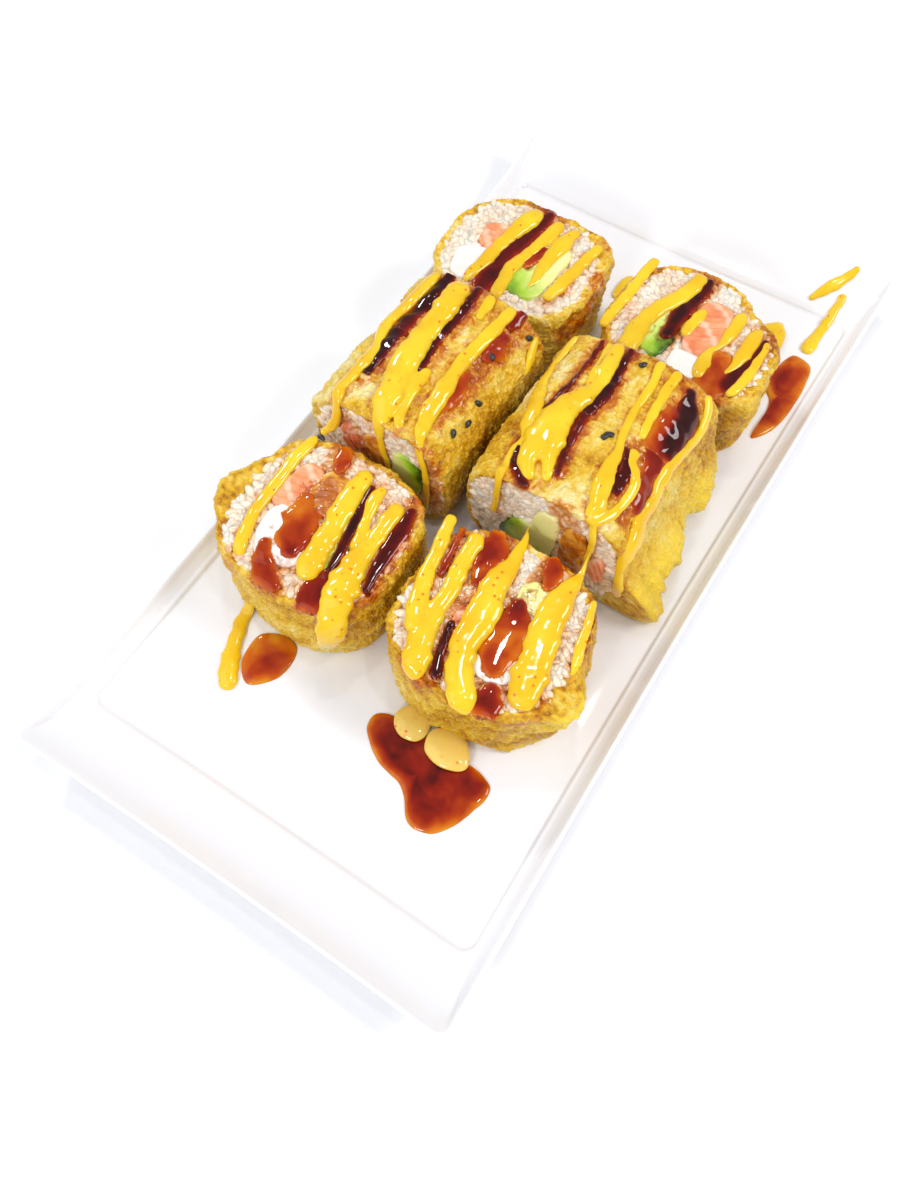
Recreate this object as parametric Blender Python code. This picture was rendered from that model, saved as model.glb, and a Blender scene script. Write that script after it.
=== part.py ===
# Crunchy sushi roll: eight fried slices in two rows on a long porcelain plate,
# with thick mayonnaise drizzled over them and brown sauce pooled beside them
import math

import bmesh
import bpy
from mathutils import Matrix, Vector, noise

MM = 0.001
GAP = 0.3 * MM

# Plate: a shallow oblong dish whose two short ends curl up into a lip
PLATE_LENGTH = 300 * MM
PLATE_WIDTH = 151.2 * MM
FLOOR_TOP = 6.5 * MM
LIP_RISE = 8.0 * MM
LIP_REACH = 30.8 * MM
SIDE_BOW = 1.8 * MM
END_BOW = 1.0 * MM

# Each loop of the plate's section, from the middle of its floor over the rim to
# the middle of its underside: inset from the short end, inset from the long side,
# corner radius, height, and the share of the end's curl that it takes (mm)
PLATE_SECTION = (
    (23.2, 7.2, 4.4, 6.5, 0.0),
    (21.6, 6.2, 4.8, 7.5, 0.5),
    (16.5, 4.8, 5.0, 8.1, 1.0),
    (10.5, 3.6, 5.0, 8.9, 1.0),
    (5.2, 2.5, 4.4, 10.0, 1.0),
    (2.0, 1.7, 3.6, 11.4, 1.0),
    (0.8, 0.9, 3.2, 12.0, 1.0),
    (0.0, 0.0, 3.0, 11.3, 1.0),
    (0.9, 0.7, 3.0, 10.1, 1.0),
    (6.4, 3.4, 4.4, 5.8, 1.0),
    (17.5, 7.0, 5.0, 3.8, 1.0),
    (30.0, 15.0, 6.0, 2.4, 0.0),
    (31.0, 16.0, 6.0, 0.0, 0.0),
    (34.5, 19.5, 6.0, 0.0, 0.0),
    (35.5, 20.5, 6.0, 2.2, 0.0),
)
INSIDE_LOOPS = 7  # of those, how many make the inside that shows from above
LONG_SIDE_STATIONS = (0.0, 0.40, 0.74, 0.83, 0.89, 0.95)
SHORT_SIDE_STATIONS = (0.35,)
CORNER_STEPS = 3

# Slices of roll: a crust ring round rice round fillings
SLICE_BASE = FLOOR_TOP + GAP
CRUST_THICKNESS = 3.0 * MM
CRUST_SIDES = 24
CRUST_RELIEF = 1.6 * MM
CRUST_STATIONS = (0.03, 0.27, 0.5, 0.73, 0.97)  # as shares of a slice's height
SECTION_POWER = 2.8
FILLING_POWER = 3.2
REST_DEPTH = 21.0 * MM
CRUST_EDGE_LIFT = 1.0 * MM  # the flat that a lying slice rests on rises towards its inside
CRUST_WALL_LIFT = 2.4 * MM
RICE_LIFT = 2.85 * MM
RICE_CLEARANCE = 0.45 * MM
CUT_SET_BACK = 0.2 * MM  # rice and fillings end this far inside the crust's cut edges
RICE_BUMP = 0.8 * MM
GRAIN_WAVE = 2.4 * MM
FILLING_CROWN = 0.9 * MM
CUTTER_REACH = 5.0 * MM

# Strands of mayonnaise
DRIZZLE_LIFT = 0.7 * MM
STRAND_INSET = 1.0 * MM
STRAND_SINK = 1.0 * MM
STRAND_SIDES = 4
STRAND_SHARE = 0.42  # of its width, as height
STRAND_LEAST = 1.8 * MM
STRAND_MOST = 3.2 * MM
POST_RADIUS = 1.0 * MM
POST_TALL = 3.6 * MM
HANG_STAND_OFF = 1.0 * MM
HANG_STATIONS = (0.16, 0.6, 1.0)  # down a hanging end, as shares of its length
HANG_WIDTHS = (0.8, 0.5, 0.6)  # and its width at each, as shares of the strand's

# Standing slices, cut face up: centre, half width, half length, height (mm)
STANDING = {
    "slice_a": {"centre": (-70.0, -36.6), "half": (24.5, 28.0), "tall": 29.5, "seed": 3},
    "slice_b": {"centre": (-73.5, 28.4), "half": (24.5, 28.4), "tall": 29.5, "seed": 11},
    "slice_e": {"centre": (50.8, -33.0), "half": (26.8, 28.8), "tall": 30.0, "seed": 23},
    "slice_f": {"centre": (50.4, 27.9), "half": (26.6, 28.0), "tall": 30.0, "seed": 31},
}

# Lying slices, crust up: first and last cut along the plate, middle of the
# section across it, half width and half height of the section (mm)
LYING = {
    "slice_c1": {"span": (-40.0, -13.5), "middle": -33.6, "half": (25.2, 23.0), "seed": 41},
    "slice_c2": {"span": (-12.9, 19.6), "middle": -33.6, "half": (25.2, 23.0), "seed": 47},
    "slice_d1": {"span": (-45.0, -15.9), "middle": 23.4, "half": (28.0, 23.2), "seed": 53},
    "slice_d2": {"span": (-15.3, 15.5), "middle": 23.4, "half": (28.0, 23.2), "seed": 59},
}

# Flakes of batter that stand off a crust: angle round it, height as a share of
# the slice, reach (mm), spread round it and along it
FLAKES = {
    "slice_a": ((100, 0.7, 1.6, 22, 0.4), (128, 0.85, 3.4, 14, 0.5)),
    "slice_b": ((60, 0.8, 3.0, 16, 0.4),),
    "slice_e": ((-84, 0.75, 7.0, 15, 0.5), (15, 0.3, 2.0, 30, 0.4)),
    "slice_f": ((72, 0.85, 6.5, 15, 0.5), (-8, 0.5, 2.4, 20, 0.5)),
    "slice_d1": ((-24, 0.40, 8.0, 15, 0.6), (-12, 0.6, 2.0, 16, 0.5)),
    "slice_d2": ((-23, 0.80, 13.5, 13, 0.6), (-20, 0.10, 8.5, 12, 0.3), (-23, 1.0, 5.0, 10, 0.22)),
    "slice_c2": ((150, 0.7, 1.6, 20, 0.5),),
}

# Flattened corners of a section: angle, depth (mm), spread (degrees)
DENTS = {
    "slice_b": ((138, 7.0, 24),),
}

# Fillings, from the slice's middle: kind, centre, half sizes (mm), turn (degrees)
FILLINGS = {
    "slice_a": (
        ("avocado", (1.5, 8.2), (14.0, 7.2), -3),
        ("cream_cheese", (11.0, -13.0), (7.6, 6.0), 20),
        ("salmon", (-3.5, -11.0), (6.2, 5.4), 10),
    ),
    "slice_b": (
        ("salmon", (-1.5, 3.8), (12.2, 6.4), 4),
        ("cream_cheese", (14.4, 4.0), (4.6, 6.4), 0),
        ("avocado", (4.5, -9.4), (12.0, 5.2), 2),
    ),
    "slice_e": (
        ("cream_cheese", (9.0, -6.0), (9.8, 8.6), 12),
        ("glazed_strip", (-9.5, -3.0), (7.4, 6.0), -4),
        ("salmon", (-6.5, -13.0), (9.4, 4.2), -10),
        ("avocado", (2.0, 9.0), (11.5, 5.0), 8),
    ),
    "slice_f": (
        ("cream_cheese", (4.6, 8.1), (12.0, 6.6), -4),
        ("avocado", (-12.4, 7.9), (5.2, 6.6), 8),
        ("glazed_strip", (-9.6, -6.3), (8.4, 4.4), 6),
        ("salmon", (6.8, -5.9), (7.6, 4.4), 10),
    ),
    "slice_c1": (
        ("avocado", (10.4, 1.4), (5.6, 11.0), 0),
        ("salmon", (-8.4, 2.0), (4.2, 12.0), 0),
    ),
    "slice_c2": (
        ("avocado", (10.4, 1.4), (5.6, 11.0), -6),
        ("glazed_strip", (-0.9, 2.4), (4.6, 12.4), 0),
        ("salmon", (-9.8, 1.6), (3.6, 11.6), 6),
    ),
    "slice_d1": (
        ("avocado", (-2.6, -1.0), (8.6, 11.4), 0),
        ("salmon", (11.0, 1.0), (4.6, 10.6), 0),
    ),
    "slice_d2": (
        ("avocado", (0.4, 1.6), (4.6, 13.6), -6),
        ("avocado_2", (-8.6, -2.8), (4.0, 8.2), -32),
        ("glazed_strip", (11.0, 0.8), (4.7, 13.0), 0),
        ("salmon", (19.4, -1.8), (2.8, 6.6), 4),
    ),
}

# Thick strands of mayonnaise on the standing slices, across the cut face:
# start, middle and end in the plate's plane, width at start and end (mm)
STANDING_STRANDS = {
    "slice_a": (
        ((-89.5, -15.6), (-72.8, -16.9), (-52.0, -19.6), 4.6, 4.8),
        ((-92.5, -25.6), (-74.0, -26.4), (-59.3, -27.6), 4.6, 4.4),
        ((-92.8, -31.4), (-71.6, -33.8), (-47.0, -33.8), 4.2, 5.4),
        ((-93.2, -41.2), (-74.0, -45.5), (-48.8, -46.7), 5.8, 5.0),
    ),
    "slice_b": (
        ((-80.6, 51.0), (-66.0, 50.9), (-55.0, 49.0), 3.0, 3.4),
        ((-84.4, 46.2), (-75.2, 46.4), (-61.7, 44.5), 5.0, 3.6),
        ((-87.6, 39.4), (-70.3, 38.6), (-52.8, 36.2), 4.6, 4.6),
        ((-96.0, 20.4), (-75.2, 15.3), (-50.8, 12.4), 5.4, 7.6),
        ((-94.0, 3.9), (-80.2, 3.1), (-58.0, 2.2), 4.4, 4.4),
    ),
    "slice_e": (
        ((28.0, -16.2), (57.7, -13.2), (75.0, -8.6), 5.4, 9.0),
        ((26.6, -23.6), (46.6, -21.5), (61.4, -19.6), 3.4, 3.0),
        ((25.4, -31.3), (47.8, -27.0), (68.7, -25.8), 7.0, 8.4),
        ((27.4, -51.0), (47.8, -53.1), (70.8, -47.9), 3.4, 4.8),
    ),
    "slice_f": (
        ((33.2, 49.4), (43.0, 52.2), (54.5, 53.4), 4.0, 3.6),
        ((27.6, 41.9), (49.0, 47.1), (71.4, 47.0), 6.0, 9.2),
        ((25.2, 21.6), (51.5, 25.4), (76.0, 34.6), 3.6, 8.0),
        ((25.6, 9.9), (51.5, 13.8), (75.6, 17.3), 4.8, 5.8),
    ),
}

# Strands along the lying slices, over the crust: start, middle and end as
# position along the plate and across it, widths, and how far the strand hangs
# down the cut face (mm)
LYING_STRANDS = {
    "slice_c1": (
        ((-40.4, -22.4), (-31.7, -23.0), (-13.4, -22.7), 4.4, 4.4, 0),
        ((-40.4, -39.8), (-29.1, -41.4), (-13.4, -38.9), 7.6, 7.8, 0),
        ((-40.4, -49.0), (-27.9, -50.7), (-13.4, -51.6), 4.0, 4.2, 0),
    ),
    "slice_c2": (
        ((-13.0, -22.7), (1.4, -21.7), (20.0, -17.6), 4.6, 4.4, 30),
        ((-6.9, -31.2), (5.2, -29.3), (17.9, -26.8), 3.8, 3.6, 0),
        ((-13.0, -38.9), (0.1, -38.9), (20.0, -33.6), 8.0, 6.0, 28),
        ((-13.0, -51.4), (1.4, -49.6), (20.0, -48.2), 4.2, 4.0, 22),
    ),
    "slice_d1": (
        ((-45.2, 42.0), (-30.0, 45.6), (-15.8, 45.0), 4.6, 5.0, 0),
        ((-45.4, 34.6), (-31.5, 35.2), (-15.8, 37.1), 4.6, 4.6, 0),
        ((-45.4, 28.3), (-30.2, 29.6), (-15.8, 31.2), 3.8, 3.8, 0),
        ((-45.4, 13.2), (-30.2, 14.4), (-15.8, 13.2), 6.0, 6.6, 0),
        ((-45.4, 1.6), (-31.5, 2.2), (-15.8, 3.4), 3.8, 3.8, 0),
    ),
    "slice_d2": (
        ((-15.4, 45.2), (-1.2, 44.8), (15.9, 47.0), 5.4, 5.8, 30),
        ((-15.4, 37.4), (-1.2, 39.4), (15.9, 37.2), 4.4, 4.4, 27),
        ((-11.3, 33.2), (-1.2, 32.3), (13.6, 34.0), 4.6, 4.4, 0),
        ((-15.4, 13.2), (-3.7, 12.0), (15.9, 17.6), 7.4, 5.6, 34),
        ((-15.4, 3.4), (-1.2, 5.9), (15.9, 8.6), 3.8, 3.8, 18),
    ),
}

# Black sesame seeds on the crusts: position along the plate and across it (mm)
SEEDS = {
    "slice_c1": ((-35.6, -12.6), (-20.4, -17.4)),
    "slice_c2": ((-5.4, -13.0), (8.4, -13.6)),
    "slice_d1": ((-39.4, 24.6),),
    "slice_d2": ((-12.6, 28.2),),
}
SEED_HALF = (1.5 * MM, 1.0 * MM, 0.7 * MM)

# Brown sauce pooled on the floor: points round its edge (mm)
POOL_TALL = 0.9 * MM
POOLS = {
    "sauce_pool_front": (
        (84.5, 48.2), (96.7, 47.3), (105.3, 42.0), (106.6, 34.0), (99.0, 26.7),
        (96.2, 16.0), (88.6, 7.2), (82.6, 10.0), (81.8, 28.0),
    ),
    "sauce_pool_left": (
        (84.0, -25.6), (92.0, -25.4), (97.4, -31.6), (93.0, -37.2), (84.0, -38.2), (81.6, -31.0),
    ),
    "sauce_pool_back": (
        (-106.8, 57.4), (-105.0, 64.6), (-95.0, 66.4), (-84.0, 66.4), (-73.6, 64.8), (-66.8, 60.6),
        (-68.5, 59.2), (-77.0, 59.6), (-84.6, 58.2), (-88.6, 54.8), (-93.4, 53.6), (-100.0, 54.8),
    ),
}

# Drops of mayonnaise beside the slices: centre, half sizes, height (mm), turn
DROPS = {
    "mayo_drop_front_1": ((84.6, 31.4), (5.6, 7.0), 2.8, 8),
    "mayo_drop_front_2": ((83.8, 17.8), (5.2, 5.6), 2.6, 0),
    "mayo_drop_back_1": ((-107.5, 46.8), (9.6, 5.2), 2.8, 0),
    "mayo_drop_back_2": ((-111.4, 31.4), (9.2, 3.6), 2.4, 3),
    "mayo_drop_back_3": ((-113.4, 19.2), (10.2, 4.2), 2.6, 2),
    "mayo_drop_back_4": ((-102.6, -9.8), (6.2, 2.2), 1.6, -4),
}

# Strands of mayonnaise that missed the slices: points on the plate and width (mm)
FLOOR_STRANDS = {
    "mayo_strand_left": (
        ((81.4, -47.6), (86.0, -46.8), (91.0, -43.6), (95.6, -41.4), (101.0, -36.8)),
        (3.4, 5.6, 5.6, 6.4, 6.8),
    ),
    "mayo_strand_back": (((-136.0, 61.8), (-122.0, 61.0), (-109.5, 60.0)), (3.2, 4.0, 5.4)),
    "mayo_strand_lip": (((-145.8, 61.2), (-139.0, 57.0), (-131.0, 51.4)), (2.8, 5.0, 2.0)),
}

COLOURS = {
    "porcelain": ((0.86, 0.85, 0.88), 0.12),
    "crust": ((0.62, 0.40, 0.10), 0.42),
    "rice": ((0.78, 0.68, 0.62), 0.40),
    "salmon": ((0.86, 0.33, 0.20), 0.35),
    "cream_cheese": ((0.92, 0.90, 0.86), 0.45),
    "avocado": ((0.58, 0.70, 0.22), 0.42),
    "glazed_strip": ((0.46, 0.17, 0.04), 0.22),
    "mayonnaise": ((0.93, 0.62, 0.08), 0.22),
    "brown_sauce": ((0.13, 0.025, 0.006), 0.10),
}


def clear_scene():
    for old in list(bpy.data.objects):
        bpy.data.objects.remove(old, do_unlink=True)


def material(kind):
    found = bpy.data.materials.get(kind)
    if found:
        return found
    colour, roughness = COLOURS[kind]
    made = bpy.data.materials.new(kind)
    made.use_nodes = True
    shader = made.node_tree.nodes["Principled BSDF"]
    shader.inputs["Base Color"].default_value = (*colour, 1.0)
    shader.inputs["Roughness"].default_value = roughness
    shader.inputs["Metallic"].default_value = 0.0
    return made


def skin_rows(bm, rows, wrap=False):
    """Joins equal rows of points with quads; the ends are capped, or joined to each other."""
    loops = [[bm.verts.new(point) for point in row] for row in rows]
    pairs = list(zip(loops, loops[1:]))
    if wrap:
        pairs.append((loops[-1], loops[0]))
    for lower, upper in pairs:
        for i in range(len(lower)):
            j = (i + 1) % len(lower)
            bm.faces.new((lower[i], lower[j], upper[j], upper[i]))
    if not wrap:
        bm.faces.new(tuple(reversed(loops[0])))
        bm.faces.new(loops[-1])


def finish_object(name, bm, kind, smooth_angle=50):
    bmesh.ops.triangulate(bm, faces=[face for face in bm.faces if len(face.verts) > 4])
    bmesh.ops.recalc_face_normals(bm, faces=bm.faces)
    mesh = bpy.data.meshes.new(name)
    bm.to_mesh(mesh)
    bm.free()
    mesh.materials.append(material(kind))
    mesh.shade_smooth()
    mesh.set_sharp_from_angle(angle=math.radians(smooth_angle))
    made = bpy.data.objects.new(name, mesh)
    bpy.context.scene.collection.objects.link(made)
    return made


def combine(target, others, operation):
    """Applies one Boolean of the target with a collection of other solids, which are then removed."""
    tools = bpy.data.collections.new("tools")
    bpy.context.scene.collection.children.link(tools)
    for other in others:
        bpy.context.scene.collection.objects.unlink(other)
        tools.objects.link(other)
    boolean = target.modifiers.new("combine", "BOOLEAN")
    boolean.operation = operation
    boolean.operand_type = "COLLECTION"
    boolean.collection = tools
    boolean.solver = "EXACT"
    bpy.context.view_layer.update()
    evaluated = target.evaluated_get(bpy.context.evaluated_depsgraph_get())
    joined = bpy.data.meshes.new_from_object(evaluated)
    target.modifiers.clear()
    target.data = joined
    for other in list(tools.objects):
        bpy.data.objects.remove(other, do_unlink=True)
    bpy.data.collections.remove(tools)
    tidy_mesh(joined)


def tidy_mesh(mesh):
    """Welds slivers that a Boolean leaves and drops loose scraps, keeping the largest piece."""
    bm = bmesh.new()
    bm.from_mesh(mesh)
    bmesh.ops.remove_doubles(bm, verts=bm.verts, dist=0.02 * MM)
    bmesh.ops.dissolve_degenerate(bm, edges=bm.edges, dist=0.01 * MM)
    bmesh.ops.triangulate(bm, faces=bm.faces)
    pieces = []
    unseen = set(bm.verts)
    while unseen:
        piece = set()
        front = [unseen.pop()]
        while front:
            vert = front.pop()
            piece.add(vert)
            for edge in vert.link_edges:
                far = edge.other_vert(vert)
                if far in unseen:
                    unseen.remove(far)
                    front.append(far)
        pieces.append(piece)
    pieces.sort(key=len, reverse=True)
    scraps = [vert for piece in pieces[1:] for vert in piece]
    bmesh.ops.delete(bm, geom=scraps, context="VERTS")
    bm.to_mesh(mesh)
    bm.free()


# Plate

def curl(x):
    """Height that the plate's short end adds at a distance x from its middle."""
    share = (abs(x) - (PLATE_LENGTH / 2 - LIP_REACH)) / LIP_REACH
    return LIP_RISE * max(0.0, share) ** 2


def plate_quarter(end_inset, side_inset, corner):
    """Points of one quarter of a loop, from the long side's middle round to the short side's."""
    half_x = PLATE_LENGTH / 2 - end_inset
    half_y = PLATE_WIDTH / 2 - side_inset
    straight_x = half_x - corner
    straight_y = half_y - corner
    points = [(straight_x * share, half_y) for share in LONG_SIDE_STATIONS]
    for step in range(CORNER_STEPS + 1):
        turn = math.radians(90 * (1 - step / CORNER_STEPS))
        points.append((straight_x + corner * math.cos(turn), straight_y + corner * math.sin(turn)))
    points += [(half_x, straight_y * share) for share in reversed(SHORT_SIDE_STATIONS)]
    return points


def plate_loop(end_inset, side_inset, corner, height, curl_share):
    quarter = plate_quarter(end_inset * MM, side_inset * MM, corner * MM)
    first = quarter
    second = [(x, -y) for x, y in reversed(quarter)]
    third = [(-x, -y) for x, y in quarter[1:]]
    fourth = [(-x, y) for x, y in reversed(quarter[1:])]
    loop = []
    for x, y in first + second + third + fourth:
        bow_y = SIDE_BOW * (1 - (2 * x / PLATE_LENGTH) ** 2)
        bow_x = END_BOW * (1 - (2 * y / PLATE_WIDTH) ** 2)
        bowed_y = y * (1 - 2 * bow_y / PLATE_WIDTH)
        bowed_x = x * (1 - 2 * bow_x / PLATE_LENGTH)
        loop.append(Vector((bowed_x, bowed_y, height * MM + curl_share * curl(x))))
    return loop


def make_plate():
    bm = bmesh.new()
    skin_rows(bm, [plate_loop(*row) for row in PLATE_SECTION])
    return finish_object("plate", bm, "porcelain", 35)


def plate_surface(x):
    """Height of the plate's inside at a distance x from its middle, away from its long sides."""
    inside = PLATE_SECTION[:INSIDE_LOOPS]
    reach = [PLATE_LENGTH / 2 - row[0] * MM for row in inside]
    height = [row[3] * MM + row[4] * curl(at) for row, at in zip(inside, reach)]
    if abs(x) <= reach[0]:
        return height[0]
    for k in range(len(reach) - 1):
        if abs(x) <= reach[k + 1]:
            share = (abs(x) - reach[k]) / (reach[k + 1] - reach[k])
            return height[k] + share * (height[k + 1] - height[k])
    return height[-1]


# Sections of the slices

class Section:
    """The shape across one slice, measured from its axis."""

    def __init__(self, name, half, tall, seed, lying):
        self.name = name
        self.half = (half[0] * MM, half[1] * MM)
        self.tall = tall * MM
        self.seed = seed
        self.lying = lying
        self.flakes = FLAKES.get(name, ())
        self.dents = DENTS.get(name, ())

    def mean(self, angle):
        across = abs(math.cos(angle)) / self.half[0]
        along = abs(math.sin(angle)) / self.half[1]
        radius = (across ** SECTION_POWER + along ** SECTION_POWER) ** (-1 / SECTION_POWER)
        sway = noise.noise(Vector((math.cos(angle), math.sin(angle), self.seed)))
        radius *= 1 + 0.025 * sway
        for turn, depth, spread in self.dents:
            off = (math.degrees(angle) - turn + 180) % 360 - 180
            radius -= depth * MM * math.exp(-(off / spread) ** 2)
        return radius

    def inner(self, angle):
        change = noise.noise(Vector((2 * math.cos(angle), 2 * math.sin(angle), self.seed + 5)))
        return self.mean(angle) - CRUST_THICKNESS * (1 + 0.25 * change)

    def outer(self, angle, height):
        """Mean surface with the crags and standing flakes of the batter."""
        round_trip = Vector((3 * math.cos(angle), 3 * math.sin(angle), height / (9 * MM) + self.seed))
        relief = 0.7 * noise.noise(round_trip) + 0.5 * noise.noise(round_trip * 2.3)
        radius = self.mean(angle) + CRUST_RELIEF * relief
        for turn, place, reach, spread, length in self.flakes:
            off = (math.degrees(angle) - turn + 180) % 360 - 180
            rise = (height / self.tall - place) / length
            ragged = 1 + 0.35 * noise.noise(round_trip * 3.1)
            radius += reach * MM * ragged * math.exp(-(off / spread) ** 2 - rise ** 2)
        return radius

    def point(self, angle, radius, height, lift=0.0):
        """A point on the section; a lying slice is flat where it rests."""
        x = radius * math.cos(angle)
        y = radius * math.sin(angle)
        if self.lying:
            y = max(y, -REST_DEPTH + lift)
        return Vector((x, y, height))


def angles():
    return [2 * math.pi * k / CRUST_SIDES for k in range(CRUST_SIDES)]


def make_crust(section):
    """A closed ring of batter: outer wall with crags, cut edge, inner wall, cut edge."""
    rows = []
    tall = section.tall
    for share in CRUST_STATIONS:
        height = share * tall
        rows.append([section.point(a, section.outer(a, height), height) for a in angles()])
    for height in (tall, 0.0):
        middle = [0.5 * (section.outer(a, height) + section.inner(a)) for a in angles()]
        edge = [section.point(a, r, height, CRUST_EDGE_LIFT) for a, r in zip(angles(), middle)]
        wall = [section.point(a, section.inner(a), height, CRUST_WALL_LIFT) for a in angles()]
        rows += [edge, wall] if height else [wall, edge]
    bm = bmesh.new()
    skin_rows(bm, rows, wrap=True)
    return finish_object(section.name + "_crust", bm, "crust")


def make_rice(section, showing):
    """The column of rice inside the crust, with bumps of grain size on a cut that shows."""
    core = [section.point(a, section.inner(a) - RICE_CLEARANCE, 0.0, RICE_LIFT) for a in angles()]
    rows = [[Vector((p.x, p.y, CUT_SET_BACK)) for p in core]]
    top = section.tall - CUT_SET_BACK
    shoulder = top - 0.6 * RICE_BUMP if showing else top
    rows.append([Vector((p.x, p.y, shoulder)) for p in core])
    if showing:
        for share in (0.86, 0.70, 0.52):
            row = []
            for p in core:
                bump = noise.noise(Vector((p.x * share, p.y * share, section.seed * MM)) / GRAIN_WAVE)
                row.append(Vector((p.x * share, p.y * share, top - RICE_BUMP * (0.5 + 0.7 * bump))))
            rows.append(row)
    bm = bmesh.new()
    skin_rows(bm, rows)
    return finish_object(section.name + "_rice", bm, "rice", 70)


def filling_outline(centre, half, turn, grow, seed, sides=12):
    spin = math.radians(turn)
    outline = []
    for k in range(sides):
        angle = 2 * math.pi * (k + 0.5) / sides
        across = abs(math.cos(angle)) / half[0]
        along = abs(math.sin(angle)) / half[1]
        radius = (across ** FILLING_POWER + along ** FILLING_POWER) ** (-1 / FILLING_POWER) * MM
        radius *= 1 + 0.10 * noise.noise(Vector((1.7 * math.cos(angle), 1.7 * math.sin(angle), seed)))
        radius += grow
        x = radius * math.cos(angle)
        y = radius * math.sin(angle)
        outline.append((
            centre[0] * MM + x * math.cos(spin) - y * math.sin(spin),
            centre[1] * MM + x * math.sin(spin) + y * math.cos(spin),
        ))
    return outline


def make_filling(section, kind, centre, half, turn):
    """A strip of filling that runs through the slice, a little domed where it is cut."""
    outline = filling_outline(centre, half, turn, 0.0, section.seed)
    top = section.tall - CUT_SET_BACK
    middle = (centre[0] * MM, centre[1] * MM)
    rows = [[Vector((x, y, CUT_SET_BACK)) for x, y in outline]]
    rows.append([Vector((x, y, top - FILLING_CROWN)) for x, y in outline])
    inner_row = []
    for x, y in outline:
        inner_row.append(Vector((middle[0] + 0.8 * (x - middle[0]), middle[1] + 0.8 * (y - middle[1]), top)))
    rows.append(inner_row)
    bm = bmesh.new()
    skin_rows(bm, rows)
    return finish_object(section.name + "_" + kind, bm, kind.replace("_2", ""), 40)


def filling_cutter(section, centre, half, turn):
    outline = filling_outline(centre, half, turn, 1.5 * GAP, section.seed)
    ends = (-CUTTER_REACH, section.tall + CUTTER_REACH)
    rows = [[Vector((x, y, z)) for x, y in outline] for z in ends]
    bm = bmesh.new()
    skin_rows(bm, rows)
    return finish_object("cutter", bm, "rice")


# Mayonnaise

def bend(start, middle, end, count):
    """Points on the curve through three given ones, in the plate's plane."""
    control = [2 * m - 0.5 * (s + e) for s, m, e in zip(start, middle, end)]
    points = []
    for k in range(count):
        t = k / (count - 1)
        points.append(tuple(
            ((1 - t) ** 2 * s + 2 * t * (1 - t) * c + t * t * e) * MM
            for s, c, e in zip(start, control, end)
        ))
    return points


def strand(name, spine, normals, widths, depth):
    """A half-round strand along a spine; its flat underside lies depth below the spine."""
    rows = []
    last = len(spine) - 1
    for k, (point, normal, width) in enumerate(zip(spine, normals, widths)):
        ahead = spine[min(k + 1, last)] - spine[max(k - 1, 0)]
        side = ahead.cross(normal).normalized()
        full = 0.5 if k in (0, last) else 1.0
        tall = min(STRAND_MOST, max(STRAND_LEAST, STRAND_SHARE * width)) * (0.6 + 0.4 * full)
        row = []
        for step in range(STRAND_SIDES):
            turn = math.pi * step / (STRAND_SIDES - 1)
            across = 0.5 * width * full * math.cos(turn)
            row.append(point + side * across + normal * (tall * math.sin(turn) - depth))
        rows.append(row)
    bm = bmesh.new()
    skin_rows(bm, rows)
    return finish_object(name, bm, "mayonnaise")


def strand_widths(first, last, count, seed):
    widths = []
    for k in range(count):
        share = k / (count - 1)
        swell = 1 + 0.16 * noise.noise(Vector((share * 3.5, seed, 0.5)))
        widths.append((first + (last - first) * share) * MM * swell)
    return widths


def anchor_post(section, point):
    """Mayonnaise that runs down from a strand into the middle of the crust's cut edge."""
    bm = bmesh.new()
    place = Matrix.Translation((point.x, point.y, section.tall - 0.4 * MM))
    bmesh.ops.create_cone(bm, cap_ends=True, segments=6, radius1=POST_RADIUS, radius2=POST_RADIUS,
                          depth=POST_TALL, matrix=place)
    return finish_object("post", bm, "mayonnaise")


def reach_crust(section, middle, start):
    """Moves a strand's start outwards until it lies on the crust's cut edge."""
    for step in range(60):
        stretch = 1 + 0.02 * step
        x, y = (m + (s - m) * stretch for m, s in zip(middle, start))
        angle = math.atan2(y, x)
        if math.hypot(x, y) * MM > 0.5 * (section.inner(angle) + section.mean(angle)) + 0.6 * MM:
            return x, y
    return start


def ring_crossing(section, path):
    """Where a path over the cut face first crosses the middle of the crust's edge."""
    for x, y in path:
        angle = math.atan2(y, x)
        middle = 0.5 * (section.inner(angle) + section.mean(angle))
        if math.hypot(x, y) < middle:
            break
    return Vector((middle * math.cos(angle), middle * math.sin(angle), 0))


def strands_on_face(section, place):
    """Drizzle over a standing slice's cut face, held clear of the rice and fillings."""
    pieces = []
    for number, (start, middle, end, first, last) in enumerate(STANDING_STRANDS[section.name]):
        local = [tuple(v - c for v, c in zip(point, place)) for point in (start, middle, end)]
        local[0] = reach_crust(section, local[1], local[0])
        path = bend(*local, 7)
        height = section.tall + DRIZZLE_LIFT
        spine = [Vector((x, y, height)) for x, y in path]
        widths = strand_widths(first, last, len(spine), section.seed + number)
        normals = [Vector((0, 0, 1))] * len(spine)
        pieces.append(strand("strand", spine, normals, widths, 0.0))
        pieces.append(anchor_post(section, ring_crossing(section, bend(*local, 300))))
    return pieces


def crust_angle(section, across):
    """Angle at which the upper half of a lying section is a given distance off its middle."""
    share = max(-0.97, min(0.97, across / section.half[0]))
    rise = section.half[1] * (1 - abs(share) ** SECTION_POWER) ** (1 / SECTION_POWER)
    return math.atan2(rise, share * section.half[0])


def crust_normal(section, angle):
    power = SECTION_POWER - 1
    radius = section.mean(angle)
    x = radius * math.cos(angle) / section.half[0]
    y = radius * math.sin(angle) / section.half[1]
    slope_x = math.copysign(abs(x) ** power, x) / section.half[0]
    slope_y = math.copysign(abs(y) ** power, y) / section.half[1]
    return Vector((slope_x, slope_y, 0)).normalized()


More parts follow.
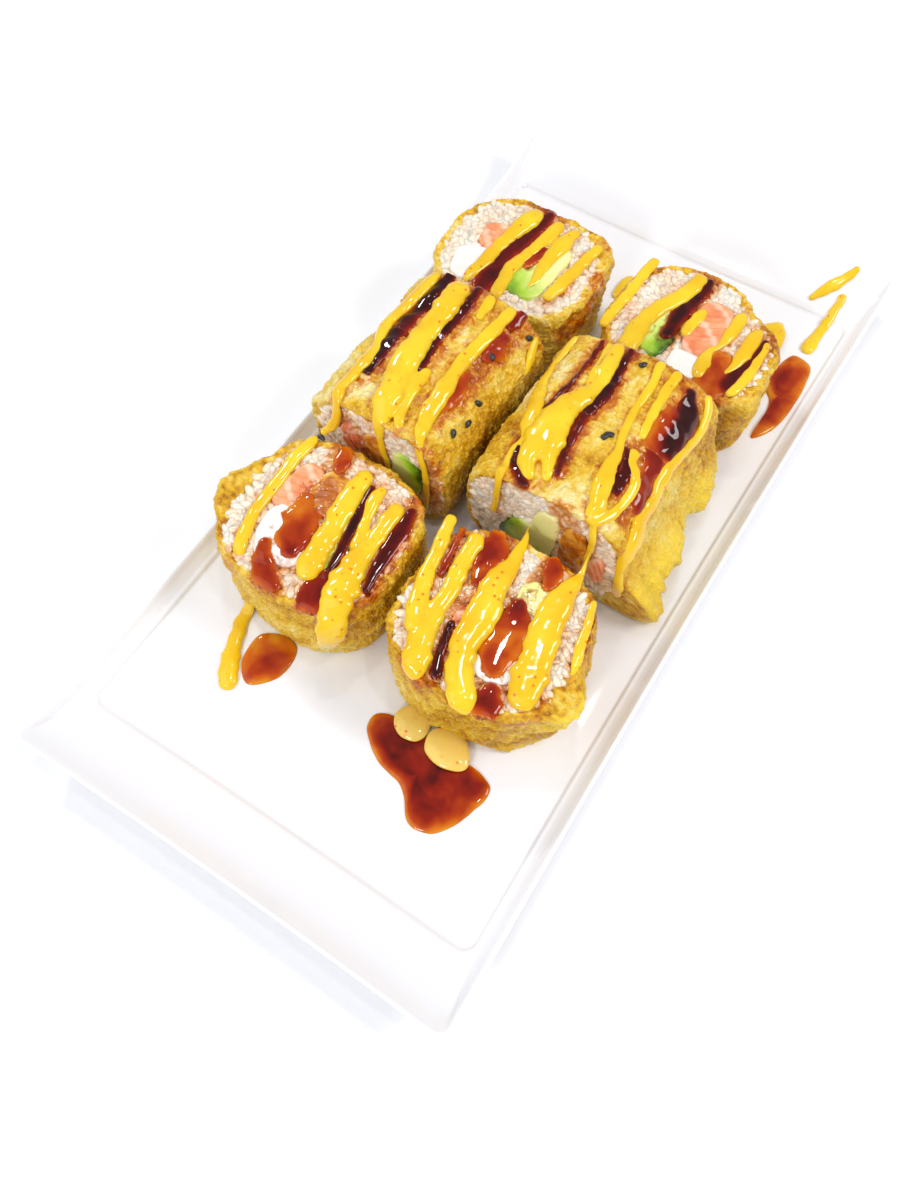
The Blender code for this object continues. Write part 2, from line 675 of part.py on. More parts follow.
def strands_on_crust(section, first_cut, middle_line):
    """Drizzle along a lying slice's crust; some of it hangs down over the cut face."""
    pieces = []
    for number, row in enumerate(LYING_STRANDS[section.name]):
        start, middle, end, first, last, hang = row
        spine = []
        normals = []
        for along, across in bend(start, middle, end, 5):
            angle = crust_angle(section, across - middle_line)
            height = min(max(along - first_cut, STRAND_INSET), section.tall - STRAND_INSET)
            radius = section.outer(angle, height)
            spine.append(section.point(angle, radius, height))
            normals.append(crust_normal(section, angle))
        if hang:
            corner = spine[-1]
            out = Vector((0, 0, 1))
            clear = section.tall + DRIZZLE_LIFT
            slant = Vector((corner.x, corner.y, clear))
            spine.append(slant + Vector((0, -1.6 * HANG_STAND_OFF, 1.2 * HANG_STAND_OFF)))
            normals.append((normals[-1] + out).normalized())
            for share in HANG_STATIONS:
                lower = corner.y - share * hang * MM
                spine.append(Vector((corner.x, lower, clear + HANG_STAND_OFF)))
                normals.append(out)
        widths = strand_widths(first, last, len(spine), section.seed + number)
        if hang:
            for k, share in zip(range(-3, 0), HANG_WIDTHS):
                widths[k] *= share
        pieces.append(strand("strand", spine, normals, widths, STRAND_SINK))
    return pieces


def seeds_on_crust(section, first_cut, middle_line):
    pieces = []
    for number, (along, across) in enumerate(SEEDS.get(section.name, ())):
        angle = crust_angle(section, across * MM - middle_line)
        height = along * MM - first_cut
        normal = crust_normal(section, angle)
        place = section.point(angle, section.outer(angle, height), height)
        facing = normal.to_track_quat("Z", "X").to_matrix().to_4x4()
        turn = Matrix.Rotation(0.7 + 1.9 * number, 4, "Z")
        size = Matrix.Diagonal((*SEED_HALF, 1.0))
        bm = bmesh.new()
        bmesh.ops.create_uvsphere(bm, u_segments=6, v_segments=4, radius=1.0,
                                  matrix=Matrix.Translation(place) @ facing @ turn @ size)
        pieces.append(finish_object("seed", bm, "crust"))
    return pieces


# Slices

def make_fillings(section):
    """Fillings in their order; each later one is cut back from the ones before it."""
    made = []
    rows = FILLINGS[section.name]
    for number, row in enumerate(rows):
        filling = make_filling(section, *row)
        if number:
            cutters = [filling_cutter(section, *other[1:]) for other in rows[:number]]
            combine(filling, cutters, "DIFFERENCE")
        made.append(filling)
    return made


def make_slice(section, showing, toppings):
    """All the solids of one slice in its own frame, along its axis."""
    crust = make_crust(section)
    combine(crust, toppings, "UNION")
    rice = make_rice(section, showing)
    combine(rice, [filling_cutter(section, *row[1:]) for row in FILLINGS[section.name]], "DIFFERENCE")
    return [crust, rice] + make_fillings(section)


def place_slice(name, solids, matrix):
    holder = bpy.data.objects.new(name, None)
    bpy.context.scene.collection.objects.link(holder)
    holder.matrix_world = matrix
    for solid in solids:
        solid.parent = holder


def make_standing_slices():
    for name, size in STANDING.items():
        section = Section(name, size["half"], size["tall"], size["seed"], False)
        toppings = strands_on_face(section, size["centre"])
        solids = make_slice(section, True, toppings)
        x, y = size["centre"]
        place_slice(name, solids, Matrix.Translation((x * MM, y * MM, SLICE_BASE)))


def make_lying_slices():
    along_plate = Matrix(((0, 0, 1, 0), (1, 0, 0, 0), (0, 1, 0, 0), (0, 0, 0, 1)))
    for name, size in LYING.items():
        first, last = size["span"]
        section = Section(name, size["half"], last - first, size["seed"], True)
        middle = size["middle"] * MM
        toppings = strands_on_crust(section, first * MM, middle)
        toppings += seeds_on_crust(section, first * MM, middle)
        solids = make_slice(section, name.endswith("2"), toppings)
        place = Matrix.Translation((first * MM, middle, SLICE_BASE + REST_DEPTH))
        place_slice(name, solids, place @ along_plate)


# Sauces on the plate

def closed_curve(points, steps):
    """Points on a smooth closed curve through the given ones."""
    curve = []
    count = len(points)
    for k in range(count):
        before, start, end, after = (Vector(points[(k + j) % count]) * MM for j in (-1, 0, 1, 2))
        for step in range(steps):
            t = step / steps
            curve.append(0.5 * (
                2 * start + (end - before) * t + (2 * before - 5 * start + 4 * end - after) * t * t
                + (3 * start - before - 3 * end + after) * t ** 3
            ))
    return curve


def make_pools():
    """Flat pools of brown sauce up to their level, with a rounded edge."""
    base = FLOOR_TOP + GAP
    for name, points in POOLS.items():
        edge = closed_curve(points, 2)
        middle = sum(edge, Vector((0, 0))) / len(edge)
        rows = []
        for level, share in ((0.0, 0.98), (0.4, 1.0), (1.0, 0.90)):
            rows.append([(middle + share * (p - middle)).to_3d() for p in edge])
            for point in rows[-1]:
                point.z = base + level * POOL_TALL
        bm = bmesh.new()
        skin_rows(bm, rows)
        finish_object(name, bm, "brown_sauce")


def drop_rows(centre, half, tall, turn, base, seed, sides=12):
    spin = math.radians(turn)
    rows = []
    for level, share in ((0.0, 0.96), (0.4, 1.0), (0.9, 0.66)):
        row = []
        for k in range(sides):
            angle = 2 * math.pi * k / sides
            wave = 1 + 0.05 * noise.noise(Vector((angle, seed, 0)))
            x = half[0] * MM * share * wave * math.cos(angle)
            y = half[1] * MM * share * wave * math.sin(angle)
            row.append(Vector((
                centre[0] * MM + x * math.cos(spin) - y * math.sin(spin),
                centre[1] * MM + x * math.sin(spin) + y * math.cos(spin),
                base + level * tall,
            )))
        rows.append(row)
    return rows


def make_drops():
    """Rounded drops of mayonnaise, on the floor or on a pool."""
    for number, (name, (centre, half, tall, turn)) in enumerate(DROPS.items()):
        base = FLOOR_TOP + GAP
        if "front" in name:
            base += POOL_TALL + GAP
        bm = bmesh.new()
        skin_rows(bm, drop_rows(centre, half, tall * MM, turn, base, 10 + number))
        finish_object(name, bm, "mayonnaise")


def make_floor_strands():
    """Strands that follow the plate's inside, also up the curl of its short end."""
    for name, (points, widths) in FLOOR_STRANDS.items():
        spine = []
        normals = []
        for x, y in points:
            height = plate_surface(x * MM)
            slope = (plate_surface((x + 2) * MM) - plate_surface((x - 2) * MM)) / (4 * MM)
            spine.append(Vector((x * MM, y * MM, height + GAP + 1.2 * MM * abs(slope))))
            normals.append(Vector((-slope, 0, 1)).normalized())
        widths = [width * MM for width in widths]
        strand(name, spine, normals, widths, 0.0)


def main():
    clear_scene()
    make_plate()
    make_standing_slices()
    make_lying_slices()
    make_pools()
    make_drops()
    make_floor_strands()


main()
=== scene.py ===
import math
import random

import bmesh
import bpy
import numpy as np
from mathutils import Matrix, Vector, noise


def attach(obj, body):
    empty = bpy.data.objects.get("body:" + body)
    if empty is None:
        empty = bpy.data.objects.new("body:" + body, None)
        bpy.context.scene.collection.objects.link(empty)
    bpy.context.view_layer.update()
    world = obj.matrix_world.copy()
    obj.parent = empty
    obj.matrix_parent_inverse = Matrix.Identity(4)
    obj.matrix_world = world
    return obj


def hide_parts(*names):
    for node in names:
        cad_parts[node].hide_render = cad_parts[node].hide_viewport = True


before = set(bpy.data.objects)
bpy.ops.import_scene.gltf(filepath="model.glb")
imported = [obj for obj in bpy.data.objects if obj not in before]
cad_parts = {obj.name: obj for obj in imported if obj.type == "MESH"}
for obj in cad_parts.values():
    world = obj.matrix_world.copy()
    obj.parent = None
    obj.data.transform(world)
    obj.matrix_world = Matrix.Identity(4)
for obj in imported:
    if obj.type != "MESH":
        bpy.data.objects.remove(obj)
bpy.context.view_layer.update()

mm = 0.001

# camera at the photograph's angle, 900 x 1200
cameraLook = {
    "place": (0.14767, 0.08323, 0.29269),
    "right": (-0.54368, 0.83897, -0.02314),
    "up": (-0.76697, -0.48544, 0.41964),
    "back": (0.34083, 0.24590, 0.90739),
    "lens": 29.49,
    "sensor": 36.0,
}


def makeCamera():
    data = bpy.data.cameras.new("camera")
    data.lens = cameraLook["lens"]
    data.sensor_width = cameraLook["sensor"]
    data.clip_start = 0.01
    camera = bpy.data.objects.new("camera", data)
    turn = Matrix([cameraLook["right"], cameraLook["up"], cameraLook["back"]]).transposed().to_4x4()
    camera.matrix_world = Matrix.Translation(cameraLook["place"]) @ turn
    bpy.context.scene.collection.objects.link(camera)
    bpy.context.scene.camera = camera


makeCamera()
print("camera placed")


# finishes

def newFinish(name):
    finish = bpy.data.materials.new(name)
    finish.use_nodes = True
    tree = finish.node_tree
    return finish, tree, tree.nodes["Principled BSDF"]


def addNode(tree, kind, settings=None, **sockets):
    node = tree.nodes.new(kind)
    for key, value in (settings or {}).items():
        setattr(node, key, value)
    for key, value in sockets.items():
        node.inputs[key.replace("_", " ")].default_value = value
    return node


def objectNoise(tree, scale, detail=3.0, rough=0.55, distort=0.0):
    # noise of a size given in waves to the metre, laid on the object's own coordinates
    coords = addNode(tree, "ShaderNodeTexCoord")
    texture = addNode(tree, "ShaderNodeTexNoise", None,
                      Scale=scale, Detail=detail, Roughness=rough, Distortion=distort)
    tree.links.new(coords.outputs["Object"], texture.inputs["Vector"])
    return texture.outputs["Fac"]


def objectCells(tree, scale):
    coords = addNode(tree, "ShaderNodeTexCoord")
    cells = addNode(tree, "ShaderNodeTexVoronoi", None, Scale=scale)
    tree.links.new(coords.outputs["Object"], cells.inputs["Vector"])
    return cells


def ramp(tree, source, stops):
    node = addNode(tree, "ShaderNodeValToRGB")
    bar = node.color_ramp
    while len(bar.elements) < len(stops):
        bar.elements.new(0.5)
    for element, (place, colour) in zip(bar.elements, stops):
        element.position = place
        element.color = (*colour, 1.0)
    tree.links.new(source, node.inputs["Fac"])
    return node.outputs["Color"]


def feed(tree, value, socket):
    # links a socket, or gives it a number or colour of its own
    if hasattr(value, "is_output"):
        tree.links.new(value, socket)
    else:
        socket.default_value = (*value, 1.0) if isinstance(value, tuple) else value


def mixColour(tree, amount, first, second, blend="MIX"):
    node = addNode(tree, "ShaderNodeMix", {"data_type": "RGBA", "blend_type": blend})
    colours = [socket for socket in node.inputs if socket.type == "RGBA"]
    for value, socket in zip((amount, first, second), (node.inputs[0], *colours)):
        feed(tree, value, socket)
    return [socket for socket in node.outputs if socket.type == "RGBA"][0]


def sums(tree, operation, first, second):
    node = addNode(tree, "ShaderNodeMath", {"operation": operation})
    for value, socket in zip((first, second), node.inputs):
        feed(tree, value, socket)
    return node.outputs["Value"]


def stretch(tree, source, low, high, newLow=0.0, newHigh=1.0):
    node = addNode(tree, "ShaderNodeMapRange", None,
                   From_Min=low, From_Max=high, To_Min=newLow, To_Max=newHigh)
    tree.links.new(source, node.inputs["Value"])
    return node.outputs["Result"]


def uneven(tree, scale, low, high, detail=3.0, rough=0.55, distort=0.0, narrow=0.3):
    # a number that wanders between two values
    return stretch(tree, objectNoise(tree, scale, detail, rough, distort), narrow, 1 - narrow, low, high)


def attribute(tree, name):
    return addNode(tree, "ShaderNodeAttribute", {"attribute_name": name}).outputs["Fac"]


def bumpFrom(tree, shader, source, strength, distance):
    bump = addNode(tree, "ShaderNodeBump", None, Strength=strength, Distance=distance)
    tree.links.new(source, bump.inputs["Height"])
    tree.links.new(bump.outputs["Normal"], shader.inputs["Normal"])


def setShader(shader, **values):
    for key, value in values.items():
        shader.inputs[key.replace("_", " ")].default_value = value


def sauceCoat(tree, shader, colour, gloss, tint, least=0.26):
    # brown sauce over a finish: a thin ragged coat that tints it, and darkens it where more has gathered
    ragged = uneven(tree, 260.0, -0.30, 0.30, 4.0, 0.62, 0.8)
    cover = sums(tree, "ADD", attribute(tree, "stain"), ragged)
    thin = stretch(tree, cover, least, least + 0.36)
    thick = stretch(tree, cover, 0.58, 1.0)
    colour = mixColour(tree, thin, colour, tint, "MULTIPLY")
    colour = mixColour(tree, thick, colour, (0.46, 0.14, 0.04), "MULTIPLY")
    feed(tree, colour, shader.inputs["Base Color"])
    dull = sums(tree, "SUBTRACT", gloss, sums(tree, "MULTIPLY", thin, 0.14))
    feed(tree, dull, shader.inputs["Roughness"])
    feed(tree, stretch(tree, thin, 0.0, 1.0, 0.10, 0.5), shader.inputs["Coat Weight"])
    return stretch(tree, thin, 0.0, 1.0, 1.0, 0.2)  # how much of the food's own grain still shows


def porcelainFinish():
    finish, tree, shader = newFinish("glazedPorcelain")
    tint = ramp(tree, objectNoise(tree, 9.0, 2.0), [
        (0.3, (0.895, 0.895, 0.935)), (0.7, (0.915, 0.912, 0.945)),
    ])
    feed(tree, tint, shader.inputs["Base Color"])
    feed(tree, uneven(tree, 60.0, 0.05, 0.11, 4.0), shader.inputs["Roughness"])
    bumpFrom(tree, shader, objectNoise(tree, 26.0, 1.0), 0.12, 0.0006)
    setShader(shader, Coat_Weight=0.35, Coat_Roughness=0.03)
    return finish


def batterFinish():
    # fried batter: pale straw where it is raised and thin, bright gold between, deep gold in its folds; the
    # pale raised bits and deep gold folds are partly painted light and painted shade
    finish, tree, shader = newFinish("friedBatter")
    mottle = uneven(tree, 300.0, -0.12, 0.12, 4.0, 0.6)
    patch = uneven(tree, 90.0, -0.16, 0.16, 3.0, 0.6, 0.6, 0.35)
    broad = uneven(tree, 34.0, -0.2, 0.24, 2.0, 0.5, 0.5, 0.35)
    # the batter's tone, which also carries painted shade from facing and relief
    level = attribute(tree, "batterToneAndShade")
    for change in (mottle, patch, broad):
        level = sums(tree, "ADD", level, change)
    colour = ramp(tree, level, [
        (0.05, (0.40, 0.15, 0.003)), (0.25, (0.60, 0.30, 0.006)), (0.46, (0.76, 0.46, 0.022)),
        (0.68, (0.83, 0.60, 0.10)), (0.95, (0.88, 0.76, 0.38)),
    ])
    # pale crumbs of batter, partly real grain and partly painted sparkle highlights on the glassy crust
    cells = objectCells(tree, 900.0)
    crumbSparkle = stretch(tree, cells.outputs["Distance"], 0.10, 0.36, 0.34, 0.0)
    colour = mixColour(tree, crumbSparkle, colour, (0.93, 0.80, 0.40))
    colour = mixColour(tree, attribute(tree, "flake"), colour, (0.93, 0.68, 0.055))
    bare = sauceCoat(tree, shader, colour, uneven(tree, 420.0, 0.15, 0.34), (0.72, 0.30, 0.006))
    crumbs = stretch(tree, cells.outputs["Distance"], 0.0, 0.6, 1.2, 0.0)
    fine = sums(tree, "ADD", objectNoise(tree, 1300.0, 4.0, 0.6), crumbs)
    bumpFrom(tree, shader, sums(tree, "MULTIPLY", fine, bare), 0.6, 0.0005)
    setShader(shader, Subsurface_Weight=0.25, Subsurface_Scale=0.0009, Subsurface_Radius=(1.0, 0.62, 0.2),
              Coat_Roughness=0.06, Specular_IOR_Level=0.2)
    return finish


def riceFinish():
    # cooked rice, warm and half clear, tinted by what lies beside it
    finish, tree, shader = newFinish("cookedRice")
    tone = ramp(tree, objectNoise(tree, 150.0, 3.0), [
        (0.30, (0.94, 0.60, 0.41)), (0.48, (0.96, 0.76, 0.58)), (0.66, (0.97, 0.86, 0.73)),
    ])
    sauceCoat(tree, shader, tone, 0.22, (0.72, 0.37, 0.12))
    bumpFrom(tree, shader, objectNoise(tree, 1400.0, 2.0), 0.12, 0.0002)
    setShader(shader, Subsurface_Weight=0.5, Subsurface_Scale=0.0010,
              Subsurface_Radius=(1.0, 0.9, 0.85), Coat_Roughness=0.06)
    return finish


def salmonFinish():
    # pale layers of fat cross the flesh
    finish, tree, shader = newFinish("rawSalmon")
    coords = addNode(tree, "ShaderNodeTexCoord")
    turn = addNode(tree, "ShaderNodeMapping", None, Rotation=(0.4, 0.5, 0.7))
    tree.links.new(coords.outputs["Object"], turn.inputs["Vector"])
    layers = addNode(tree, "ShaderNodeTexWave", None,
                     Scale=48.0, Distortion=3.2, Detail=2.0, Detail_Scale=1.3)
    tree.links.new(turn.outputs["Vector"], layers.inputs["Vector"])
    fat = stretch(tree, layers.outputs["Fac"], 0.72, 0.98)
    flesh = ramp(tree, objectNoise(tree, 120.0, 3.0), [
        (0.30, (0.80, 0.20, 0.075)), (0.52, (0.90, 0.33, 0.14)), (0.72, (0.93, 0.47, 0.26)),
    ])
    colour = mixColour(tree, sums(tree, "MULTIPLY", fat, 0.55), flesh, (0.96, 0.72, 0.56))
    sauceCoat(tree, shader, colour, 0.2, (0.70, 0.45, 0.15), 0.5)
    bumpFrom(tree, shader, layers.outputs["Fac"], 0.3, 0.0004)
    setShader(shader, Subsurface_Weight=0.4, Subsurface_Scale=0.002,
              Subsurface_Radius=(1.0, 0.35, 0.2), Coat_Roughness=0.08)
    return finish


def cheeseFinish():
    finish, tree, shader = newFinish("softCheese")
    tone = ramp(tree, objectNoise(tree, 150.0, 3.0), [(0.3, (0.93, 0.86, 0.80)), (0.7, (0.97, 0.95, 0.92))])
    sauceCoat(tree, shader, tone, 0.26, (0.78, 0.36, 0.05), 0.72)
    bumpFrom(tree, shader, objectNoise(tree, 520.0, 3.0), 0.25, 0.0004)
    setShader(shader, Subsurface_Weight=0.35, Subsurface_Scale=0.002,
              Subsurface_Radius=(1.0, 0.85, 0.7), Coat_Roughness=0.1)
    return finish


def avocadoFinish():
    # from pale flesh by the stone to dark green under the skin
    finish, tree, shader = newFinish("ripeAvocado")
    place = sums(tree, "ADD", attribute(tree, "skin"), uneven(tree, 210.0, -0.09, 0.09))
    flesh = ramp(tree, place, [
        (0.08, (0.92, 0.86, 0.38)), (0.38, (0.80, 0.86, 0.28)), (0.66, (0.46, 0.68, 0.05)),
        (0.84, (0.18, 0.38, 0.01)), (0.97, (0.035, 0.09, 0.006)),
    ])
    sauceCoat(tree, shader, flesh, 0.22, (0.60, 0.35, 0.12), 0.5)
    bumpFrom(tree, shader, objectNoise(tree, 700.0, 3.0), 0.08, 0.0003)
    setShader(shader, Subsurface_Weight=0.25, Subsurface_Scale=0.0015,
              Subsurface_Radius=(0.9, 1.0, 0.3), Coat_Roughness=0.1)
    return finish


def glazedFinish():
    finish, tree, shader = newFinish("glazedStrip")
    tone = ramp(tree, objectNoise(tree, 170.0, 4.0, 0.6, 0.8), [
        (0.28, (0.20, 0.022, 0.002)), (0.46, (0.50, 0.13, 0.006)),
        (0.60, (0.74, 0.33, 0.03)), (0.76, (0.85, 0.58, 0.20)),
    ])
    feed(tree, tone, shader.inputs["Base Color"])
    bumpFrom(tree, shader, objectNoise(tree, 380.0, 3.0), 0.35, 0.0005)
    setShader(shader, Roughness=0.12, Subsurface_Weight=0.15, Subsurface_Scale=0.001,
              Subsurface_Radius=(1.0, 0.4, 0.1), Coat_Weight=0.6, Coat_Roughness=0.05)
    return finish


def mayonnaiseFinish():
    # golden and glossy, with painted shade of deeper orange at its sides where it turns from view, paler
    # where it runs into sauce, with red and orange specks of ground chilli
    finish, tree, shader = newFinish("spicedMayonnaise")
    body = ramp(tree, objectNoise(tree, 75.0, 2.0), [
        (0.32, (0.83, 0.49, 0.006)), (0.66, (0.88, 0.62, 0.02)),
    ])
    # painted shade: deeper orange where the strand's surface turns away from the view
    edge = addNode(tree, "ShaderNodeLayerWeight", None, Blend=0.4)
    rim = stretch(tree, edge.outputs["Facing"], 0.35, 0.95, 0.0, 0.6)
    body = mixColour(tree, rim, body, (0.84, 0.38, 0.012))
    body = mixColour(tree, attribute(tree, "pale"), body, (0.88, 0.62, 0.17))
    cells = objectCells(tree, 400.0)
    picked = addNode(tree, "ShaderNodeSeparateColor")
    tree.links.new(cells.outputs["Color"], picked.inputs["Color"])
    near = stretch(tree, cells.outputs["Distance"], 0.12, 0.22, 1.0, 0.0)
    speck = sums(tree, "MULTIPLY", near, sums(tree, "GREATER_THAN", picked.outputs["Red"], 0.76))
    halo = sums(tree, "MULTIPLY", stretch(tree, cells.outputs["Distance"], 0.06, 0.36, 0.6, 0.0),
                sums(tree, "GREATER_THAN", picked.outputs["Green"], 0.5))
    colour = mixColour(tree, halo, body, (0.88, 0.42, 0.012))
    colour = mixColour(tree, sums(tree, "MULTIPLY", speck, 0.9), colour, (0.78, 0.14, 0.004))
    feed(tree, colour, shader.inputs["Base Color"])
    bumpFrom(tree, shader, objectNoise(tree, 320.0, 2.0), 0.10, 0.0003)
    setShader(shader, Roughness=0.12, Specular_IOR_Level=0.3, Coat_Weight=0.45, Coat_Roughness=0.03,
              Subsurface_Weight=0.16, Subsurface_Scale=0.0012, Subsurface_Radius=(1.0, 0.66, 0.08))
    return finish


def sauceFinish():
    # sweet brown sauce: almost black where deep, maroon, then amber at its thin edge
    finish, tree, shader = newFinish("brownSauce")
    level = sums(tree, "ADD", attribute(tree, "deep"), uneven(tree, 110.0, -0.18, 0.18, 2.0, 0.5, 0.4))
    colour = ramp(tree, level, [
        (0.02, (0.66, 0.25, 0.012)), (0.16, (0.58, 0.13, 0.002)), (0.32, (0.42, 0.045, 0.0008)),
        (0.52, (0.25, 0.010, 0.0005)), (0.76, (0.10, 0.002, 0.0004)), (1.00, (0.028, 0.0006, 0.0004)),
    ])
    feed(tree, colour, shader.inputs["Base Color"])
    setShader(shader, Roughness=0.03, Specular_IOR_Level=0.34)
    return finish


def sesameFinish():
    finish, tree, shader = newFinish("blackSesame")
    tone = ramp(tree, objectNoise(tree, 1600.0, 2.0), [
        (0.35, (0.008, 0.007, 0.007)), (0.75, (0.05, 0.045, 0.04)),
    ])
    feed(tree, tone, shader.inputs["Base Color"])
    bumpFrom(tree, shader, objectNoise(tree, 3500.0, 2.0), 0.3, 0.0001)
    setShader(shader, Roughness=0.3)
    return finish


finishes = {
    "porcelain": porcelainFinish(),
    "crust": batterFinish(),
    "rice": riceFinish(),
    "salmon": salmonFinish(),
    "cream_cheese": cheeseFinish(),
    "avocado": avocadoFinish(),
    "glazed_strip": glazedFinish(),
    "mayonnaise": mayonnaiseFinish(),
    "brown_sauce": sauceFinish(),
    "sesame": sesameFinish(),
}
print("finishes made")


# helpers for making pieces

def gridPoints(bm, across, along):
    # the points of a flat grid, each with its shares of the way across and along
    made = bmesh.ops.create_grid(bm, x_segments=across, y_segments=along, size=0.5)["verts"]
    return [(vert, vert.co.x + 0.5, vert.co.y + 0.5) for vert in made]


def mappedGrid(bm, across, along, place):
    # a flat grid whose points move to place(u, v)
    points = gridPoints(bm, across, along)
    for vert, u, v in points:
        vert.co = place(u, v)
    return [vert for vert, u, v in points]


stainFade = 4.0  # mm
closeGap = 0.002  # mm between points that are one


def stainMesh(mesh, strokes):
    # an attribute that tells how much sauce has soaked in: each stroke, as rows of place, width and level,
    # gives its level along its middle and fades to nothing beyond its edge
    points = np.empty(3 * len(mesh.vertices), dtype=np.float32)
    mesh.vertices.foreach_get("co", points)
    points = points.reshape(-1, 3) / mm
    stain = np.zeros(len(points))
    for stroke in strokes:
        for start, end in zip(stroke, stroke[1:]):
            low, way = np.array(start[:3]), np.array(end[:3]) - np.array(start[:3])
            along = np.clip((points - low) @ way / (way @ way), 0, 1)
            away = np.linalg.norm(points - low - along[:, None] * way, axis=1)
            radius = 0.5 * (start[3] + (end[3] - start[3]) * along)
            stain = np.maximum(stain, start[4] * np.clip(0.85 + (radius - away) / stainFade, 0, 1))
    mesh.attributes.new("stain", "FLOAT", "POINT").data.foreach_set("value", stain.astype(np.float32))


def meshFrom(bm, name):
    mesh = bpy.data.meshes.new(name)
    bm.to_mesh(mesh)
    bm.free()
    return mesh


def objectFrom(data, name):
    made = bpy.data.objects.new(name, data)
    bpy.context.scene.collection.objects.link(made)
    return made


def appliedMesh(holder):
    # the mesh that an object's modifiers make, without the object
    bpy.context.view_layer.update()
    mesh = bpy.data.meshes.new_from_object(holder.evaluated_get(bpy.context.evaluated_depsgraph_get()))
    plain = holder.data
    bpy.data.objects.remove(holder)
    bpy.data.meshes.remove(plain)
    return mesh


def addMesh(bm, mesh):
    bm.from_mesh(mesh)
    bpy.data.meshes.remove(mesh)


def closeUp(bm, gap=closeGap):
    # merges the points that lie together at seams and poles, and turns the faces outward
    bmesh.ops.remove_doubles(bm, verts=bm.verts, dist=gap * mm)
    bmesh.ops.recalc_face_normals(bm, faces=bm.faces)


def finishPiece(name, bm, kind, nodes=(), gap=closeGap, strokes=()):
    closeUp(bm, gap)
    mesh = meshFrom(bm, name)
    mesh.shade_smooth()
    mesh.materials.append(finishes[kind])
    if strokes:
        stainMesh(mesh, strokes)
    piece = objectFrom(mesh, name)
    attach(piece, "root")
    if nodes:
        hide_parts(*nodes)
    return piece


def fuse(bm, voxel, passes, wave=0.0):
    # runs bodies that touch into one, then softens it
    body = objectFrom(meshFrom(bm, "fused"), "fused")
    remesh = body.modifiers.new("remesh", "REMESH")
    remesh.mode = "VOXEL"
    remesh.voxel_size = voxel * mm
    soft = bmesh.new()
    addMesh(soft, appliedMesh(body))
    for turn in range(passes):
        bmesh.ops.smooth_vert(soft, verts=soft.verts, factor=0.5,
                              use_axis_x=True, use_axis_y=True, use_axis_z=True)
    if wave:
        soft.normal_update()
        for vert in soft.verts:
            vert.co += vert.normal * wave * mm * noise.noise(vert.co / (4 * mm))
    return soft


def clamp(value, low=0.0, high=1.0):
    return max(low, min(high, value))


def turned(x, y, angle):
    cos, sin = math.cos(angle), math.sin(angle)
    return x * cos - y * sin, x * sin + y * cos


def ripple(angle, waves, seed):
    # smooth noise that closes on itself round a ring
    return noise.noise(Vector((waves * math.cos(angle), waves * math.sin(angle), seed)))


def curveValue(a, b, c, d, t):
    # a share t of the way from b to c, on the smooth curve that also passes through a and d
    square, cube = 2 * a - 5 * b + 4 * c - d, 3 * b - a - 3 * c + d
    return 0.5 * (2 * b + (c - a) * t + square * t * t + cube * t ** 3)


def curveRow(rows, t):
    return [curveValue(*values, t) for values in zip(*rows)]


def smoothCurve(points, step):
    # evenly spaced points on a smooth curve through rows of numbers, of which the first three are a place
    rows = [points[0]] + list(points) + [points[-1]]
    curve = []
    for four in zip(rows, rows[1:], rows[2:], rows[3:]):
        count = max(1, round(math.dist(four[1][:3], four[2][:3]) / step))
        curve += [curveRow(four, k / count) for k in range(count)]
    curve.append(list(points[-1]))
    return curve


def closedCurve(points, steps):
    # a smooth loop through flat places, with as many steps from each to the next
    count = len(points)
    curve = []
    for k in range(count):
        four = [Vector(points[(k + j) % count]) for j in (-1, 0, 1, 2)]
        curve += [curveValue(*four, step / steps) for step in range(steps)]
    return curve


# the plate, a shallow oblong dish whose short ends curl up

plateSizes = {
    "length": 300.0,
    "width": 151.2,
    "lipRise": 8.0,
    "lipReach": 30.8,
    "sideBow": 1.8,
    "endBow": 1.0,
    "around": 256,
    "steps": 5,
    "floorRows": 8,  # and as many on the underside
    "straight": 0.36,  # share of a quarter's points that lie on its short side
    "rounded": 0.58,  # and up to the corner's end
    # inset from the end, inset from the side, corner radius, height, share of the end's curl
    "section": [
        # floor and its step
        (23.2, 7.2, 4.4, 6.5, 0.0), (22.2, 6.7, 4.6, 6.75, 0.25), (21.2, 6.2, 4.8, 7.45, 0.55),
        (19.6, 5.7, 4.9, 7.8, 0.85), (16.5, 4.8, 5.0, 8.1, 1.0),
        # rim and its rounded edge
        (10.5, 3.6, 5.0, 8.9, 1.0), (5.2, 2.5, 4.4, 10.0, 1.0), (2.0, 1.7, 3.6, 11.4, 1.0),
        (0.8, 0.9, 3.2, 12.0, 1.0), (0.0, 0.0, 3.0, 11.3, 1.0), (0.9, 0.7, 3.0, 10.1, 1.0),
        # underside and foot
        (6.4, 3.4, 4.4, 5.8, 1.0), (17.5, 7.0, 5.0, 3.8, 1.0), (30.0, 15.0, 6.0, 2.4, 0.0),
        (30.7, 15.7, 6.0, 0.3, 0.0), (31.2, 16.2, 6.0, 0.0, 0.0), (34.3, 19.3, 6.0, 0.0, 0.0),
        (34.8, 19.8, 6.0, 0.3, 0.0), (35.5, 20.5, 6.0, 2.2, 0.0),
    ],
}


def plateCurl(x):
    reach = plateSizes["lipReach"]
    return plateSizes["lipRise"] * max(0.0, (abs(x) - plateSizes["length"] / 2 + reach) / reach) ** 2


